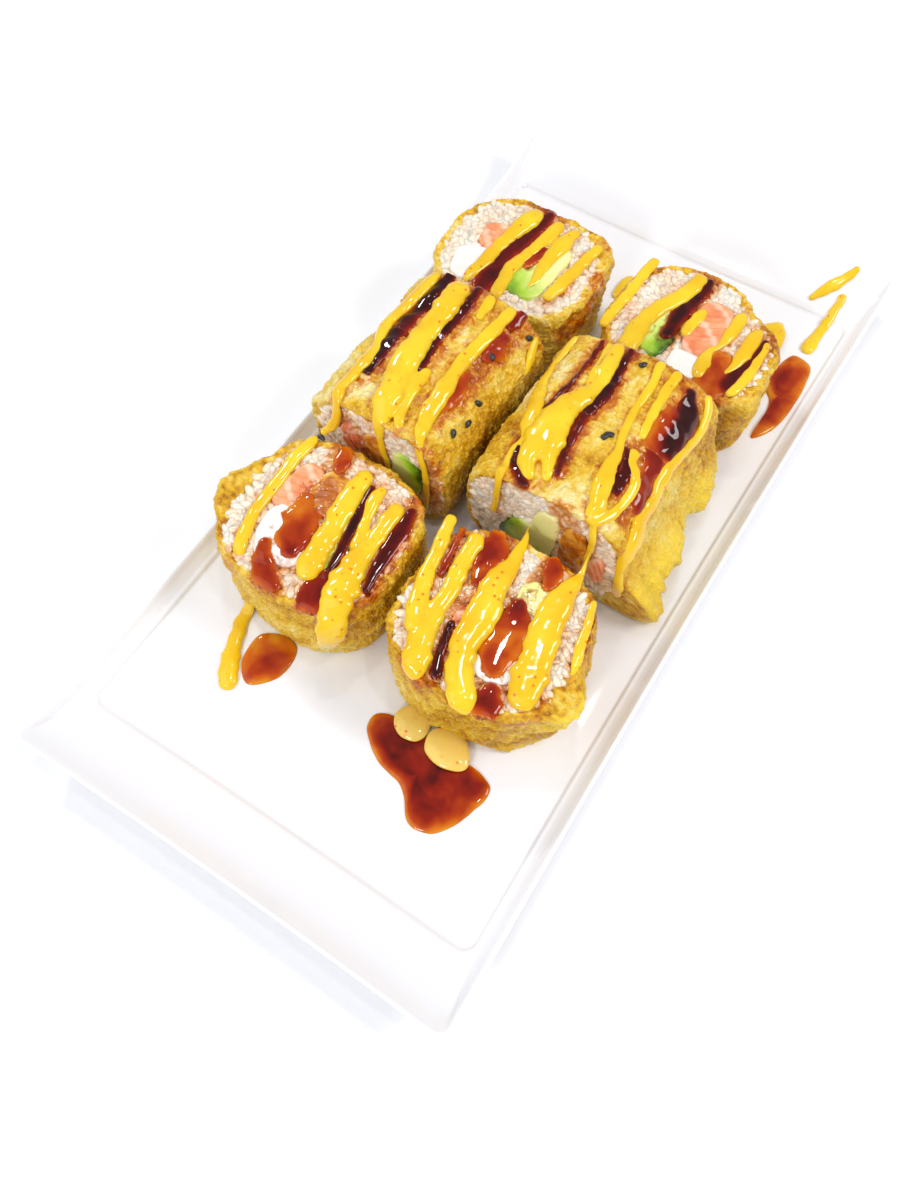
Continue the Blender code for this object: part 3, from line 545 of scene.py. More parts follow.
def plateOutline(share, endInset, sideInset, corner):
    # a point at a share of the way round a rounded oblong, with as many steps in each of its quarters
    halfX = plateSizes["length"] / 2 - endInset
    halfY = plateSizes["width"] / 2 - sideInset
    wide, deep = halfX - corner, halfY - corner
    turn = (share % 1.0) * 4
    quarter = int(turn)
    t = turn - quarter if quarter in (0, 2) else quarter + 1 - turn
    straight, rounded = plateSizes["straight"], plateSizes["rounded"]
    if t < straight:
        x, y = halfX, deep * t / straight
    elif t < rounded:
        angle = math.pi / 2 * (t - straight) / (rounded - straight)
        x, y = wide + corner * math.cos(angle), deep + corner * math.sin(angle)
    else:
        x, y = wide * (1 - (t - rounded) / (1 - rounded)), halfY
    signX, signY = [(1, 1), (-1, 1), (-1, -1), (1, -1)][quarter]
    return x * signX, y * signY


def makePlate():
    rows, steps = plateSizes["section"], plateSizes["steps"]
    smooth = []
    for four in zip(rows[:1] + rows, rows, rows[1:], rows[2:] + rows[-1:]):
        smooth += [curveRow(four, k / steps) for k in range(steps)]
    smooth.append(rows[-1])
    inner = plateSizes["floorRows"]
    total = len(smooth) - 1 + 2 * inner

    def place(u, v):
        step = v * total
        if step < inner:
            row, scale = smooth[0], step / inner
        elif step > total - inner:
            row, scale = smooth[-1], (total - step) / inner
        else:
            low = min(int(step - inner + 1e-6), len(smooth) - 1)
            row, scale = smooth[low], 1.0
        x, y = plateOutline(u, row[0], row[1], row[2])
        x, y = x * scale, y * scale
        bowY = plateSizes["sideBow"] * (1 - (2 * x / plateSizes["length"]) ** 2)
        bowX = plateSizes["endBow"] * (1 - (2 * y / plateSizes["width"]) ** 2)
        x, y = x * (1 - 2 * bowX / plateSizes["length"]), y * (1 - 2 * bowY / plateSizes["width"])
        return Vector((x, y, row[3] + row[4] * plateCurl(x))) * mm

    bm = bmesh.new()
    mappedGrid(bm, plateSizes["around"], total, place)
    finishPiece("dish", bm, "porcelain", ["plate"], gap=0.01)


makePlate()
print("plate made")


# slices of roll, all in mm

floorTop = 6.5
sliceBase = 6.8  # foot of the slices
restDepth = 21.0  # from a lying slice's middle down to its foot
sectionPower = 2.8
fillingPower = 3.2
crustThickness = 3.0
crustRelief = 1.6
joinReach = 6.0  # how far from a shared cut two crusts run into one

# centre, half width and half length of the section, height

slices = {
    "slice_a": {"standing": True, "place": (-70.0, -36.6), "half": (24.5, 28.0), "tall": 29.5, "seed": 3},
    "slice_b": {"standing": True, "place": (-73.5, 28.4), "half": (24.5, 28.4), "tall": 29.5, "seed": 11},
    "slice_e": {"standing": True, "place": (50.8, -33.0), "half": (26.8, 28.8), "tall": 30.0, "seed": 23},
    "slice_f": {"standing": True, "place": (50.4, 27.9), "half": (26.6, 28.0), "tall": 30.0, "seed": 31},
    "slice_c1": {"standing": False, "place": (-40, -33.6), "half": (25.2, 23.0), "tall": 26.5, "seed": 41},
    "slice_c2": {"standing": False, "place": (-12.9, -33.6), "half": (25.2, 23), "tall": 32.5, "seed": 47},
    "slice_d1": {"standing": False, "place": (-45.0, 23.4), "half": (28.0, 23.2), "tall": 29.1, "seed": 53},
    "slice_d2": {"standing": False, "place": (-15.3, 23.4), "half": (28.0, 23.2), "tall": 30.8, "seed": 59},
}

# flattened corners: angle, depth (mm), spread
dents = {"slice_b": [(138, 7.0, 24)]}

# slices whose cut lies against another's: the neighbour, and whether it is at this one's top
neighbours = {
    "slice_c1": ("slice_c2", True), "slice_c2": ("slice_c1", False),
    "slice_d1": ("slice_d2", True), "slice_d2": ("slice_d1", False),
}

# flakes that stand off a crust: angle round it, height as a share of the slice, reach (mm),
# and spread round and along it
flakes = {
    "slice_a": [(100, 0.7, 1.6, 22, 0.4), (128, 0.85, 3.4, 14, 0.5)],
    "slice_b": [(60, 0.8, 3.0, 16, 0.4)],
    "slice_e": [(-84, 0.75, 7.0, 15, 0.5), (15, 0.3, 2.0, 30, 0.4)],
    "slice_f": [(72, 0.85, 6.5, 15, 0.5), (-8, 0.5, 2.4, 20, 0.5)],
    "slice_d1": [(-24, 0.40, 8.0, 15, 0.6), (-12, 0.6, 2.0, 16, 0.5)],
    "slice_d2": [(-23, 0.80, 13.5, 13, 0.6), (-20, 0.10, 8.5, 12, 0.3), (-23, 1.0, 5.0, 10, 0.22)],
    "slice_c2": [(150, 0.7, 1.6, 20, 0.5)],
}


def toPlate(size, x, y, height):
    # from a slice's own section and height to the plate's frame, all in mm
    if size["standing"]:
        return Vector((size["place"][0] + x, size["place"][1] + y, sliceBase + height)) * mm
    return Vector((size["place"][0] + height, size["place"][1] + x, sliceBase + restDepth + y)) * mm


def squareRadius(half, angle, power):
    # a rounded oblong: power 2 is an ellipse, and more is squarer
    across, along = abs(math.cos(angle)) / half[0], abs(math.sin(angle)) / half[1]
    return (across ** power + along ** power) ** (-1 / power)


def meanRadius(name, angle):
    size = slices[name]
    radius = squareRadius(size["half"], angle, sectionPower)
    radius *= 1 + 0.025 * ripple(angle, 1, size["seed"])
    for turn, depth, spread in dents.get(name, []):
        off = (math.degrees(angle) - turn + 180) % 360 - 180
        radius -= depth * math.exp(-(off / spread) ** 2)
    return radius


def innerRadius(name, angle):
    change = ripple(angle, 2, slices[name]["seed"] + 5)
    return meanRadius(name, angle) - crustThickness * (1 + 0.25 * change)


def cragRadius(name, angle, height):
    # the batter's surface with its crags and standing flakes
    size = slices[name]
    spot = Vector((3 * math.cos(angle), 3 * math.sin(angle), height / 9 + size["seed"]))
    crags = 0.7 * noise.noise(spot) + 0.5 * noise.noise(spot * 2.3)
    radius = meanRadius(name, angle) + crustRelief * crags
    for turn, place, reach, spread, length in flakes.get(name, []):
        off = (math.degrees(angle) - turn + 180) % 360 - 180
        rise = (height / size["tall"] - place) / length
        ragged = 1 + 0.32 * noise.noise(spot * 1.5) + 0.10 * noise.noise(spot * 4)
        radius += reach * ragged * math.exp(-(off / spread) ** 2 - rise ** 2)
    return radius


def joinedEnds(name):
    # whether a slice's lower and upper cut lie against a neighbour's
    above = neighbours[name][1] if name in neighbours else None
    return above is False, above is True


def outerRadius(name, angle, height):
    # the same, run into the neighbour's where a cut lies against another
    radius = cragRadius(name, angle, height)
    if name in neighbours:
        other, above = neighbours[name]
        off = slices[name]["tall"] - height if above else height
        if off < joinReach:
            beside = cragRadius(other, angle, 0.0 if above else slices[other]["tall"])
            radius += 0.5 * (1 - off / joinReach) * (beside - radius)
    return radius


def crustAngle(size, across):
    # the angle of the upper half of a lying slice's section at a distance across it
    share = clamp(across / size["half"][0], -0.97, 0.97)
    rise = size["half"][1] * (1 - abs(share) ** sectionPower) ** (1 / sectionPower)
    return math.atan2(rise, share * size["half"][0])


def crustNormal(name, angle):
    # which way the mean section faces
    size = slices[name]
    radius = meanRadius(name, angle)
    x = radius * math.cos(angle) / size["half"][0]
    y = radius * math.sin(angle) / size["half"][1]
    slopeX = math.copysign(abs(x) ** (sectionPower - 1), x) / size["half"][0]
    slopeY = math.copysign(abs(y) ** (sectionPower - 1), y) / size["half"][1]
    return Vector((slopeX, slopeY)).normalized()


def surfaceSpot(name, x, y):
    # where a strand or film lies on a slice, above a point of the plate, and which way it faces
    size = slices[name]
    if size["standing"]:
        return Vector((x, y, sliceBase + size["tall"] + 0.2)), Vector((0, 0, 1))
    angle = crustAngle(size, y - size["place"][1])
    height = clamp(x - size["place"][0], 0.0, size["tall"])
    radius = outerRadius(name, angle, height)
    flat = crustNormal(name, angle)
    spot = toPlate(size, radius * math.cos(angle), radius * math.sin(angle), height) / mm
    spot.x = x
    return spot, Vector((0, flat.x, flat.y))


# where mayonnaise was drizzled over the slices: place on the plate and width (mm);
# a fourth number is the height, where a strand leaves a top
drizzle = {
    "slice_e": [
        [(26.5, -51.2, 3.0), (31.5, -52, 4.3), (37.5, -52.5, 4.7), (45, -52, 4.3), (51.5, -52, 4.2),
         (58.5, -51.5, 4.2), (64, -50, 4.3), (70, -48, 4.4), (73, -47, 4.4, 34.5),
         (73.6, -46.8, 3.4, 32.5)],
        [(28.5, -30.5, 5.5), (36.5, -30, 7.2), (45, -29, 7.4), (53, -28, 7.6), (61, -27, 8.2),
         (65.5, -26, 8.6), (69, -24.5, 7.4)],
        [(30.5, -23.4, 3.0), (37, -23, 4.7), (42, -21.5, 3.9), (47.5, -20, 3.9), (54, -18.2, 5.0)],
        [(33, -15.6, 5.0), (40, -15.5, 6.4), (46, -15.5, 5.3), (53, -15.5, 6.8), (59.5, -15.5, 9.4),
         (66, -14, 10.8), (71.5, -12.4, 10.6), (75.6, -11.8, 9.8, 32.0), (77.2, -12.4, 8.0, 26.0),
         (77.4, -13.2, 5.0, 21.0)],
    ],
    "slice_f": [
        [(27.5, -0.5, 3.6), (33.5, 0.6, 4.5), (42.5, 2.8, 4.7), (48, 3.5, 5.1), (54, 5.5, 6.0),
         (60, 8, 6.6), (66, 11.8, 7.6)],
        [(28.8, 9.5, 5.4), (36.5, 10.5, 6.0), (44.5, 11.5, 6.0), (50, 12.5, 5.7), (56.5, 12.5, 6.3),
         (62.5, 13, 7.6), (69, 14.5, 8.8), (74, 17, 7.5), (76.8, 18.6, 5.0, 35.0)],
        [(16.2, 20.4, 1.6, 36.5), (20.5, 21.2, 1.6, 36.6), (25.5, 22.4, 3.0), (33, 23, 6.0),
         (40, 22.5, 8.8), (45.5, 23.5, 9.3), (52, 24.5, 9.8), (57.5, 24.5, 9.6), (62.5, 25.2, 9.0),
         (68.5, 28, 8.8), (72.5, 31, 9.2), (75.6, 34, 7.4), (77.6, 35.8, 4.6, 35.0)],
        [(16.4, 40.2, 1.8, 38.5), (20.5, 40.8, 1.6, 38.2), (25.4, 41.5, 2.6), (29, 41, 5.5), (35, 41, 8.2),
         (43, 41.5, 9.5), (51.5, 43.5, 10.4), (59, 45, 10.6), (64.5, 46.5, 10.2), (69.5, 48.2, 9.0)],
        [(29.5, 48.8, 2.0), (35, 50.2, 2.6), (41.5, 52.0, 3.0), (47, 53.4, 3.2), (52, 55.0, 3.6, 35.0),
         (54.8, 56.6, 3.4, 31.0)],
    ],
    "slice_a": [
        [(-91.5, -40.8, 5.0), (-84.5, -42, 7.2), (-76.5, -43.5, 6.0), (-67.5, -45, 5.5), (-60, -45.5, 5.4),
         (-54.5, -46.5, 4.3), (-50.5, -46.8, 2.6)],
        [(-90.5, -31.4, 4.6), (-80, -33, 5.3), (-72.5, -34, 5.0), (-67, -35.5, 5.2), (-62, -36, 5.2),
         (-56, -35, 4.9), (-49.5, -34.6, 4.4)],
        [(-90.5, -25.2, 3.6), (-81, -26.5, 6.2), (-75.5, -27, 5.9), (-70, -27, 5.2), (-64, -26.5, 3.6),
         (-59, -27, 1.6)],
        [(-88.5, -14.6, 3.8), (-79.5, -16.5, 4.5), (-73.5, -17, 5.0), (-67.5, -18, 4.9),
         (-62.5, -18.5, 4.7), (-57.5, -19.6, 4.0)],
    ],
    "slice_b": [
        [(-93.5, 4.2, 4.0), (-86.5, 3.5, 4.3), (-78, 3, 4.2), (-70, 2.5, 4.0), (-63.5, 2, 4.2),
         (-58, 2.2, 3.4)],
        [(-95, 21, 4.6), (-88, 20, 6.2), (-82.5, 18.5, 5.7), (-77.5, 16, 6.2), (-72, 14, 6.6),
         (-66.5, 13, 7.4), (-60, 13, 7.8), (-52.5, 13.4, 6.4)],
        [(-82.5, 28, 2.7), (-77, 27.5, 4.8), (-72.5, 26.5, 4.8), (-68, 27, 2.4)],
        [(-87.6, 39.4, 3.4), (-84.5, 39.5, 4.6), (-80, 39.5, 5.0), (-76, 39, 4.3),
         (-70.5, 38.4, 2.2), (-67.5, 36.8, 3.2), (-62, 37, 5.6), (-55, 37.5, 3.4)],
        [(-84.2, 46.2, 3.2), (-81, 46.5, 4.6), (-76.5, 46.5, 5.4), (-71.5, 46.5, 4.9), (-67, 46, 3.6),
         (-61.5, 44.5, 1.6)],
        [(-80.6, 51.0, 2.2), (-76, 51.5, 2.6), (-70.5, 51.5, 3.4), (-64.5, 51, 3.8), (-58.5, 50.2, 3.6),
         (-54.5, 48.6, 2.2)],
    ],
    "slice_c1": [
        [(-39.2, -48.4, 4.1), (-32, -49, 4.9), (-23.5, -50.5, 5.3), (-16, -51.5, 5.3), (-10, -50.9, 4.6)],
        [(-39.2, -39, 6.6), (-30.5, -38.5, 8.5), (-21.5, -38, 8.0), (-14, -38.3, 7.8), (-9.5, -37.8, 8.2)],
        [(-39.2, -28.6, 3.8), (-34.8, -28, 4.4), (-28.5, -27.6, 2.6)],
        [(-39.2, -20.6, 4.2), (-34.5, -21, 4.5), (-26, -21.5, 4.9), (-18.5, -22.5, 5.4), (-13, -22.8, 5.0),
         (-9.5, -22.7, 5.0)],
        [(-39.0, -11.4, 2.4), (-34.5, -10.4, 4.2), (-29.5, -9.6, 3.1), (-26.3, -9.2, 1.6)],
    ],
    "slice_c2": [
        [(-17, -51.4, 5.0), (-13.2, -51.3, 5.0), (-9, -50.5, 4.6), (-3.5, -49, 4.2), (3, -48.5, 5.2),
         (10, -49, 4.6), (14.5, -48.8, 4.1), (18.6, -47.5, 3.8), (20.9, -47.2, 3.6, 44.5),
         (22.4, -48.4, 3.4, 40.2), (26.0, -50.4, 3.2, 38.4)],
        [(-18, -38.2, 7.6), (-13.8, -38.3, 7.9), (-6, -37.5, 9.2), (2, -36.5, 9.2), (10, -34.2, 8.9),
         (16.5, -32.4, 6.6), (19.6, -31.6, 3.6, 46.5), (20.2, -31.2, 2.4, 38.0), (20.2, -29.8, 2.2, 30.0),
         (20.2, -31.2, 2.6, 22.0)],
        [(-5.2, -29.5, 3.0), (0.5, -30, 4.8), (6, -29.5, 4.2), (11.5, -28.5, 3.8), (16.5, -26.5, 3.5),
         (19.2, -25, 2.6, 46.0)],
        [(-17.5, -22.6, 5.0), (-13.6, -22.8, 5.0), (-5.5, -22.5, 5.3), (1, -22, 6.0), (6.5, -21.5, 6.2),
         (12, -20.5, 5.2), (16.5, -19.2, 4.0), (19.7, -17.2, 2.6, 45.0), (20.2, -15.6, 2.4, 38.0),
         (20.2, -15.4, 2.6, 28.0), (20.2, -16.2, 2.2, 18.0), (20.4, -17.6, 3.6, 12.0)],
    ],
    "slice_d1": [
        [(-44.2, 0.2, 3.4), (-38, -0.6, 3.8), (-32, -1.0, 3.7), (-25.5, -0.2, 4.0), (-17.5, 2.2, 4.8),
         (-15.4, 2.8, 5.0), (-11.6, 4.1, 5.2)],
        [(-44.2, 14.6, 4.6), (-33.5, 16, 5.4), (-26, 16.5, 5.3), (-20, 15, 6.6), (-15.6, 13.2, 8.6),
         (-10.5, 12.6, 9.6)],
        [(-43.2, 11.6, 1.8), (-36, 12.1, 2.1), (-30, 13, 2.1), (-24.5, 14.4, 2.1)],
        [(-44.4, 28.8, 3.0), (-40, 29.5, 3.3), (-33.5, 30.3, 3.0), (-26, 30.5, 2.9), (-19.5, 31, 2.9),
         (-15.4, 31.4, 2.9), (-12, 32.2, 3.0)],
        [(-44.4, 34.6, 3.6), (-37.5, 35, 3.9), (-30.5, 35, 3.5), (-24.5, 35.2, 3.5), (-19.5, 36, 2.9),
         (-16.6, 36.5, 2.3)],
        [(-44.4, 45.0, 3.0), (-41, 47.2, 3.8), (-36, 48.6, 3.9), (-30.7, 48.8, 3.6), (-21.3, 47.7, 3.8),
         (-15.6, 47.1, 4.4), (-12, 47.4, 4.6)],
    ],
    "slice_d2": [
        [(-19, 1.9, 4.4), (-15.6, 2.8, 5.0), (-11, 4.3, 5.6), (-4.7, 5.6, 5.2), (0.5, 6.4, 2.4),
         (5.2, 5.8, 2.0), (10.5, 6.6, 3.2), (14.0, 7.4, 3.8), (16.2, 7.8, 2.6, 44.0),
         (16.6, 7.6, 2.4, 36.0), (16.6, 6.8, 2.8, 30.0)],
        [(-20, 14.6, 6.6), (-15.8, 12.9, 8.8), (-8, 12.5, 11.6), (0, 12.5, 12.0), (5.5, 11.8, 7.6),
         (9.5, 13.6, 4.6), (12.5, 16.4, 3.4)],
        [(-8.5, 14.0, 8.6), (0, 15.8, 6.9), (6, 18.5, 4.8), (10.8, 20.2, 2.6)],
        [(-19, 31.0, 2.9), (-15.6, 31.4, 2.9), (-8, 33, 3.4), (-2, 33.5, 4.8), (4, 34.8, 6.0),
         (10, 36.4, 5.0), (14, 37.4, 3.4), (12.6, 40, 3.2), (9.0, 41.4, 3.4), (3.5, 42, 3.4), (-2, 42, 3.7),
         (-6, 39.8, 3.4), (-8.5, 37.4, 3.4), (-13, 37.4, 4.6)],
        [(13.6, 38.4, 3.0), (16.3, 39.6, 2.4, 46.0), (16.6, 40.2, 2.6, 40.0), (16.6, 39.4, 2.0, 30.0),
         (16.6, 39.2, 2.6, 24.0)],
        [(-19.5, 47.5, 3.8), (-15.8, 47.1, 4.4), (-10.4, 47.6, 5.0), (-4.9, 48.3, 5.0), (2.1, 48.2, 5.8),
         (7.9, 48.9, 7.2), (12.3, 49.4, 6.0), (15.4, 50.0, 4.0, 37.0), (16.6, 50.6, 3.0, 31.0),
         (16.8, 51.2, 3.9, 25.0), (16.6, 51.4, 2.6, 19.0)],
    ],
}

# where brown sauce lies over the slices: depth, from 0 amber to 1 almost black,
# and a stroke of places on the plate and widths (mm)
films = {
    "slice_a": [
        (0.8, [(-91.5, -37.2, 3.6), (-86.5, -37.6, 5.2), (-77, -39, 5.8), (-69.5, -40.4, 5.8),
               (-61.5, -40.8, 6.0), (-53, -40.5, 6.2)]),
        (0.45, [(-76, -30.4, 2.8), (-71.5, -31.4, 4.0), (-67.5, -32.0, 3.4)]),
    ],
    "slice_b": [
        (1.0, [(-93.5, 23.7, 2.4), (-90, 24, 3.8), (-84, 23, 4.4), (-76, 21.6, 5.0), (-66, 21.6, 3.6)]),
        (0.3, [(-66.5, 41.4, 6.0), (-61.0, 41.2, 9.0), (-55.4, 42.4, 9.0)]),
        (0.75, [(-80, 50.4, 2.2), (-77, 50.6, 3.2), (-71, 50, 4.2), (-65.5, 48, 5.4), (-58, 46.6, 5.8)]),
    ],
    "slice_e": [
        (0.2, [(47, -40.6, 4.6), (53, -39.0, 8.4)]),
        (0.5, [(53, -37.6, 9.4), (59, -36.4, 9.0), (63.5, -34.4, 5.0)]),
        (0.5, [(65.5, -42.2, 3.4), (70.0, -40.0, 5.6), (73.4, -36.4, 6.6), (75.0, -32.0, 4.0)]),
        (0.65, [(64.5, -20.4, 4.4), (70, -20.6, 7.6), (75.2, -19.6, 6.0)]),
        (0.9, [(34, -11.4, 3.2), (41.5, -10.8, 4.9), (48, -10.2, 4.6), (56, -9.4, 3.4), (62, -8, 2.2)]),
        (0.35, [(26.4, -40.6, 4.0), (29.4, -39.4, 5.4), (32.6, -38.6, 3.6)]),
        (0.9, [(33, -26.4, 2.2), (40, -25, 2.8), (47, -23.4, 3.0), (56.5, -21.4, 2.8), (62.5, -20.8, 2.2)]),
    ],
    "slice_f": [
        (0.75, [(43.0, 31.6, 4.4), (47.5, 33.0, 8.4)]),
        (0.35, [(51.0, 33.2, 10.0), (57.5, 34.0, 9.6), (62.0, 35.0, 6.6)]),
        (0.62, [(69.0, 38.6, 4.6), (72.6, 39.0, 7.6), (77.0, 38.6, 7.0)]),
        (0.4, [(26.8, 14.8, 4.4), (31.0, 15.8, 8.2), (37.5, 16.6, 6.4), (43, 17.4, 3.0)]),
        (0.35, [(25.8, 33.2, 4.4), (29.2, 35.0, 5.6), (32.6, 35.6, 4.2)]),
        (0.5, [(30, 4.6, 1.8), (38, 6, 2.0), (46, 7.2, 2.2)]),
        (1.0, [(58, 18.4, 2.4), (66.5, 20.4, 2.8), (72.5, 22.6, 3.2)]),
    ],
    "slice_c1": [
        (1.0, [(-40, -44.4, 3.2), (-28, -45.2, 4.2), (-20, -46, 4.8), (-13.2, -46.4, 5.6)]),
        (0.9, [(-39, -33.6, 2.6), (-31, -33.0, 3.4), (-22, -33.8, 3.2), (-13.2, -34.0, 3.4)]),
        (0.55, [(-39.6, -17.6, 2.6), (-36.0, -17.8, 4.2), (-32.5, -18.2, 2.0)]),
        (0.42, [(-28.6, -17.8, 3.4), (-24.0, -18.2, 7.0), (-19.6, -18.0, 3.4)]),
    ],
    "slice_c2": [
        (1.0, [(-13.2, -46.4, 5.6), (-7, -46.4, 5.8), (-1.5, -46.2, 4.2), (5.5, -45.8, 2.4)]),
        (0.9, [(-13.2, -34.0, 3.4), (-5, -32.8, 3.0), (3.5, -31.8, 2.4), (12, -29.6, 2.4)]),
        (0.36, [(-10.0, -19.6, 3.2), (-5.0, -19.6, 5.6), (0.5, -20.0, 6.4), (6.0, -20.6, 3.4)]),
    ],
    "slice_d1": [
        (0.95, [(-40, 41.2, 3.6), (-34, 43.6, 7.0), (-27, 44.0, 8.0), (-20, 43.4, 7.4)]),
        (0.3, [(-30, 39.6, 4.4), (-24, 39.4, 5.6), (-18, 40.8, 6.0), (-15.5, 42.4, 6.4)]),
        (0.9, [(-43, 18.8, 2.4), (-31, 19.6, 3.4), (-24, 19.8, 4.8), (-19, 18.8, 4.2), (-15.6, 18.4, 3.2)]),
        (0.8, [(-43, 8.6, 1.8), (-32, 10.0, 1.8), (-20, 8.6, 2.2), (-15.6, 7.6, 2.4)]),
    ],
    "slice_d2": [
        (0.55, [(-15.5, 42.4, 6.4), (-9, 43.6, 4.6), (-4.5, 45, 6.4), (0.8, 45.4, 5.0)]),
        (0.9, [(-11, 34.8, 2.4), (-4.5, 37.8, 4.2), (2, 38.6, 2.8)]),
        (0.9, [(-15, 7.6, 2.4), (-8.5, 6.8, 2.4), (3, 6.6, 2.8), (9.5, 9.4, 3.4), (14.6, 15.2, 3.0)]),
        (0.8, [(-15.4, 18.4, 3.2), (-8, 19.2, 2.4), (-1.5, 19.8, 2.4), (7, 22.2, 2.0)]),
    ],
}

# where thinner sauce only tints the food; a fourth number is the height, off a top
soaked = {
    "slice_f": [
        [(42, 33, 9.0), (56, 36, 13.0), (66, 38, 11.0), (75, 39, 8.0)],
        [(28, 34, 9.0), (40, 33, 7.0)],
        [(28, 16, 10.0), (42, 17, 7.0), (56, 18.5, 6.0), (74, 22, 6.0)],
        [(28, 5, 5.0), (50, 8, 4.0)],
    ],
    "slice_e": [
        [(44, -41, 9.0), (56, -38, 14.0), (66, -38, 13.0), (75, -36, 8.0)],
        [(60, -20, 6.0), (73, -19, 9.0)],
        [(30, -11, 6.0), (64, -8.5, 7.0)],
        [(26, -42, 8.0), (33, -41, 6.0)],
    ],
    "slice_c1": [
        [(-39, -17, 9.0), (-26, -17.6, 9.0), (-14, -17.6, 6.0)],
        [(-39, -33, 6.0), (-14, -33, 7.0)],
        [(-39, -45, 6.0), (-14, -46, 8.0)],
    ],
    "slice_c2": [
        [(-13, -17.6, 6.0), (-4, -18.4, 8.0), (10, -19, 6.0)],
        [(-13, -33, 7.0), (14, -30, 6.0)],
        [(-13, -46, 8.0), (8, -46, 6.0)],
        [(19.8, -46, 8.0, 43.0), (19.8, -42, 10.0, 34.0), (19.8, -38, 7.0, 27.0)],
        [(19.8, -14.5, 6.0, 47.0), (19.8, -13.5, 6.0, 34.0), (19.8, -13.5, 4.0, 20.0)],
    ],
    "slice_a": [
        [(-93, -37.6, 8.0), (-70, -40, 9.0), (-53, -40.5, 10.0)],
        [(-76, -9.2, 6.0, 33.0), (-66, -9.2, 9.0, 30.0), (-58, -11.5, 9.0, 27.0)],
    ],
    "slice_b": [
        [(-82, 50.0, 5.0), (-66, 48, 9.0), (-54, 44, 12.0)],
        [(-94, 24, 6.0), (-64, 22, 7.0)],
    ],
    "slice_d1": [
        [(-43, 39, 7.0), (-30, 42.6, 12.0), (-16, 42, 10.0)],
        [(-43, 19, 5.0), (-22, 20, 8.0), (-16, 18.6, 6.0)],
        [(-44, 9, 4.0), (-16, 8, 4.0)],
    ],
    "slice_d2": [
        [(-15, 42, 8.0), (-2, 44, 9.0), (8, 44, 5.0)],
        [(-15, 18.6, 5.0), (6, 22, 4.0)],
        [(-14, 36.5, 5.0), (2, 38, 7.0)],
        [(15.9, 29, 7.0, 48.0), (15.9, 32, 8.0, 42.0), (15.9, 34, 8.0, 33.0)],
    ],
}


stainLevels = {
    "film": (0.75, 0.25),  # and how much more of it a deep film leaves
    "soaked": 0.62,
    "strand": 0.42,
    "strandMargin": 1.6,
}


def stains(name):
    # every stroke of sauce that reaches a slice, as rows of place, width and level
    least, more = stainLevels["film"]
    margin = stainLevels["strandMargin"]
    strokes = []
    for owner in (name, *neighbours.get(name, ())[:1]):
        strands = [[(*row[:2], row[2] + margin, *row[3:]) for row in strand] for strand in drizzle[owner]]
        levels = [(stroke, least + more * depth) for depth, stroke in films[owner]]
        levels += [(stroke, stainLevels["soaked"]) for stroke in soaked[owner]]
        levels += [(stroke, stainLevels["strand"]) for stroke in strands]
        for stroke, level in levels:
            spots = [surfaceSpot(owner, x, y)[0] if not rise else Vector((x, y, *rise))
                     for x, y, width, *rise in stroke]
            strokes.append([(*spot, row[2], level) for spot, row in zip(spots, stroke)])
    return strokes


# crusts

crustLook = {
    "columns": 440,
    "wallRows": 84,
    "edgeRows": 7,
    "insideRows": 4,
    "bubble": 2.2,
    "grain": 1.15,
    "crinkle": 3.2,
    "round": 0.9,  # how much a cut's edge is rounded off, and how far from the cut that begins
    "roundFrom": 1.4,
    "jointRound": 0.2,
    "joint": 0.35,  # how far a crust runs into its neighbour
    "lift": 2.4,  # of the crust's inside off the plate
    "tone": 0.34,  # tones run from 0, deep gold, to 1, pale straw; this tone is the painted shade of a wall that faces down
    "cutTone": 0.42,
    # painted shade and light from the relief: folds deeper gold, raised bits paler
    "reliefShade": 0.36,
    "insideTone": 0.4,
    "standingLight": 0.15,  # painted light on the wall of a standing slice: little, so it is nearly as deep gold as a side in painted shade
    "flake": 2.0,  # from here out the batter counts as a thin flake
}


def batterRelief(spot):
    # relief of about half a millimetre: pebbles of batter, a finer grain and crinkles,
    # each strong in its own patches
    patch = clamp(0.5 + 0.9 * noise.noise(spot / 8.5))
    bubbles = noise.voronoi(spot / crustLook["bubble"])[0][0]
    grains = noise.voronoi(spot / crustLook["grain"])[0][0]
    crinkle = 1 - 2.4 * abs(noise.noise(spot / crustLook["crinkle"]))
    pebbles = 0.7 * (0.5 - bubbles) * (0.45 + patch)
    return pebbles + 0.75 * (0.45 - grains) + 0.26 * crinkle * (1 - 0.6 * patch)


def crustWall(name, angle, height, joins):
    # radius and tone of the fried outside, rounded off toward each cut that shows; the tone carries painted
    # shade, paler where the crust faces up and deeper gold where it faces down
    size = slices[name]
    tone, cutTone = crustLook["tone"], crustLook["cutTone"]
    radius = outerRadius(name, angle, height)
    relief = batterRelief(toPlate(size, radius * math.cos(angle), radius * math.sin(angle), height) / mm)
    off = min(math.inf if joins[0] else height, math.inf if joins[1] else size["tall"] - height)
    radius += relief - crustLook["round"] * (1 - clamp(off / crustLook["roundFrom"])) ** 2
    # painted light: how far a lying slice's crust faces up, and a small fixed share on a standing slice's
    # wall
    light = crustLook["standingLight"] if size["standing"] else clamp(math.sin(angle))
    return radius, tone + (1 - tone - cutTone) * light + crustLook["reliefShade"] * relief


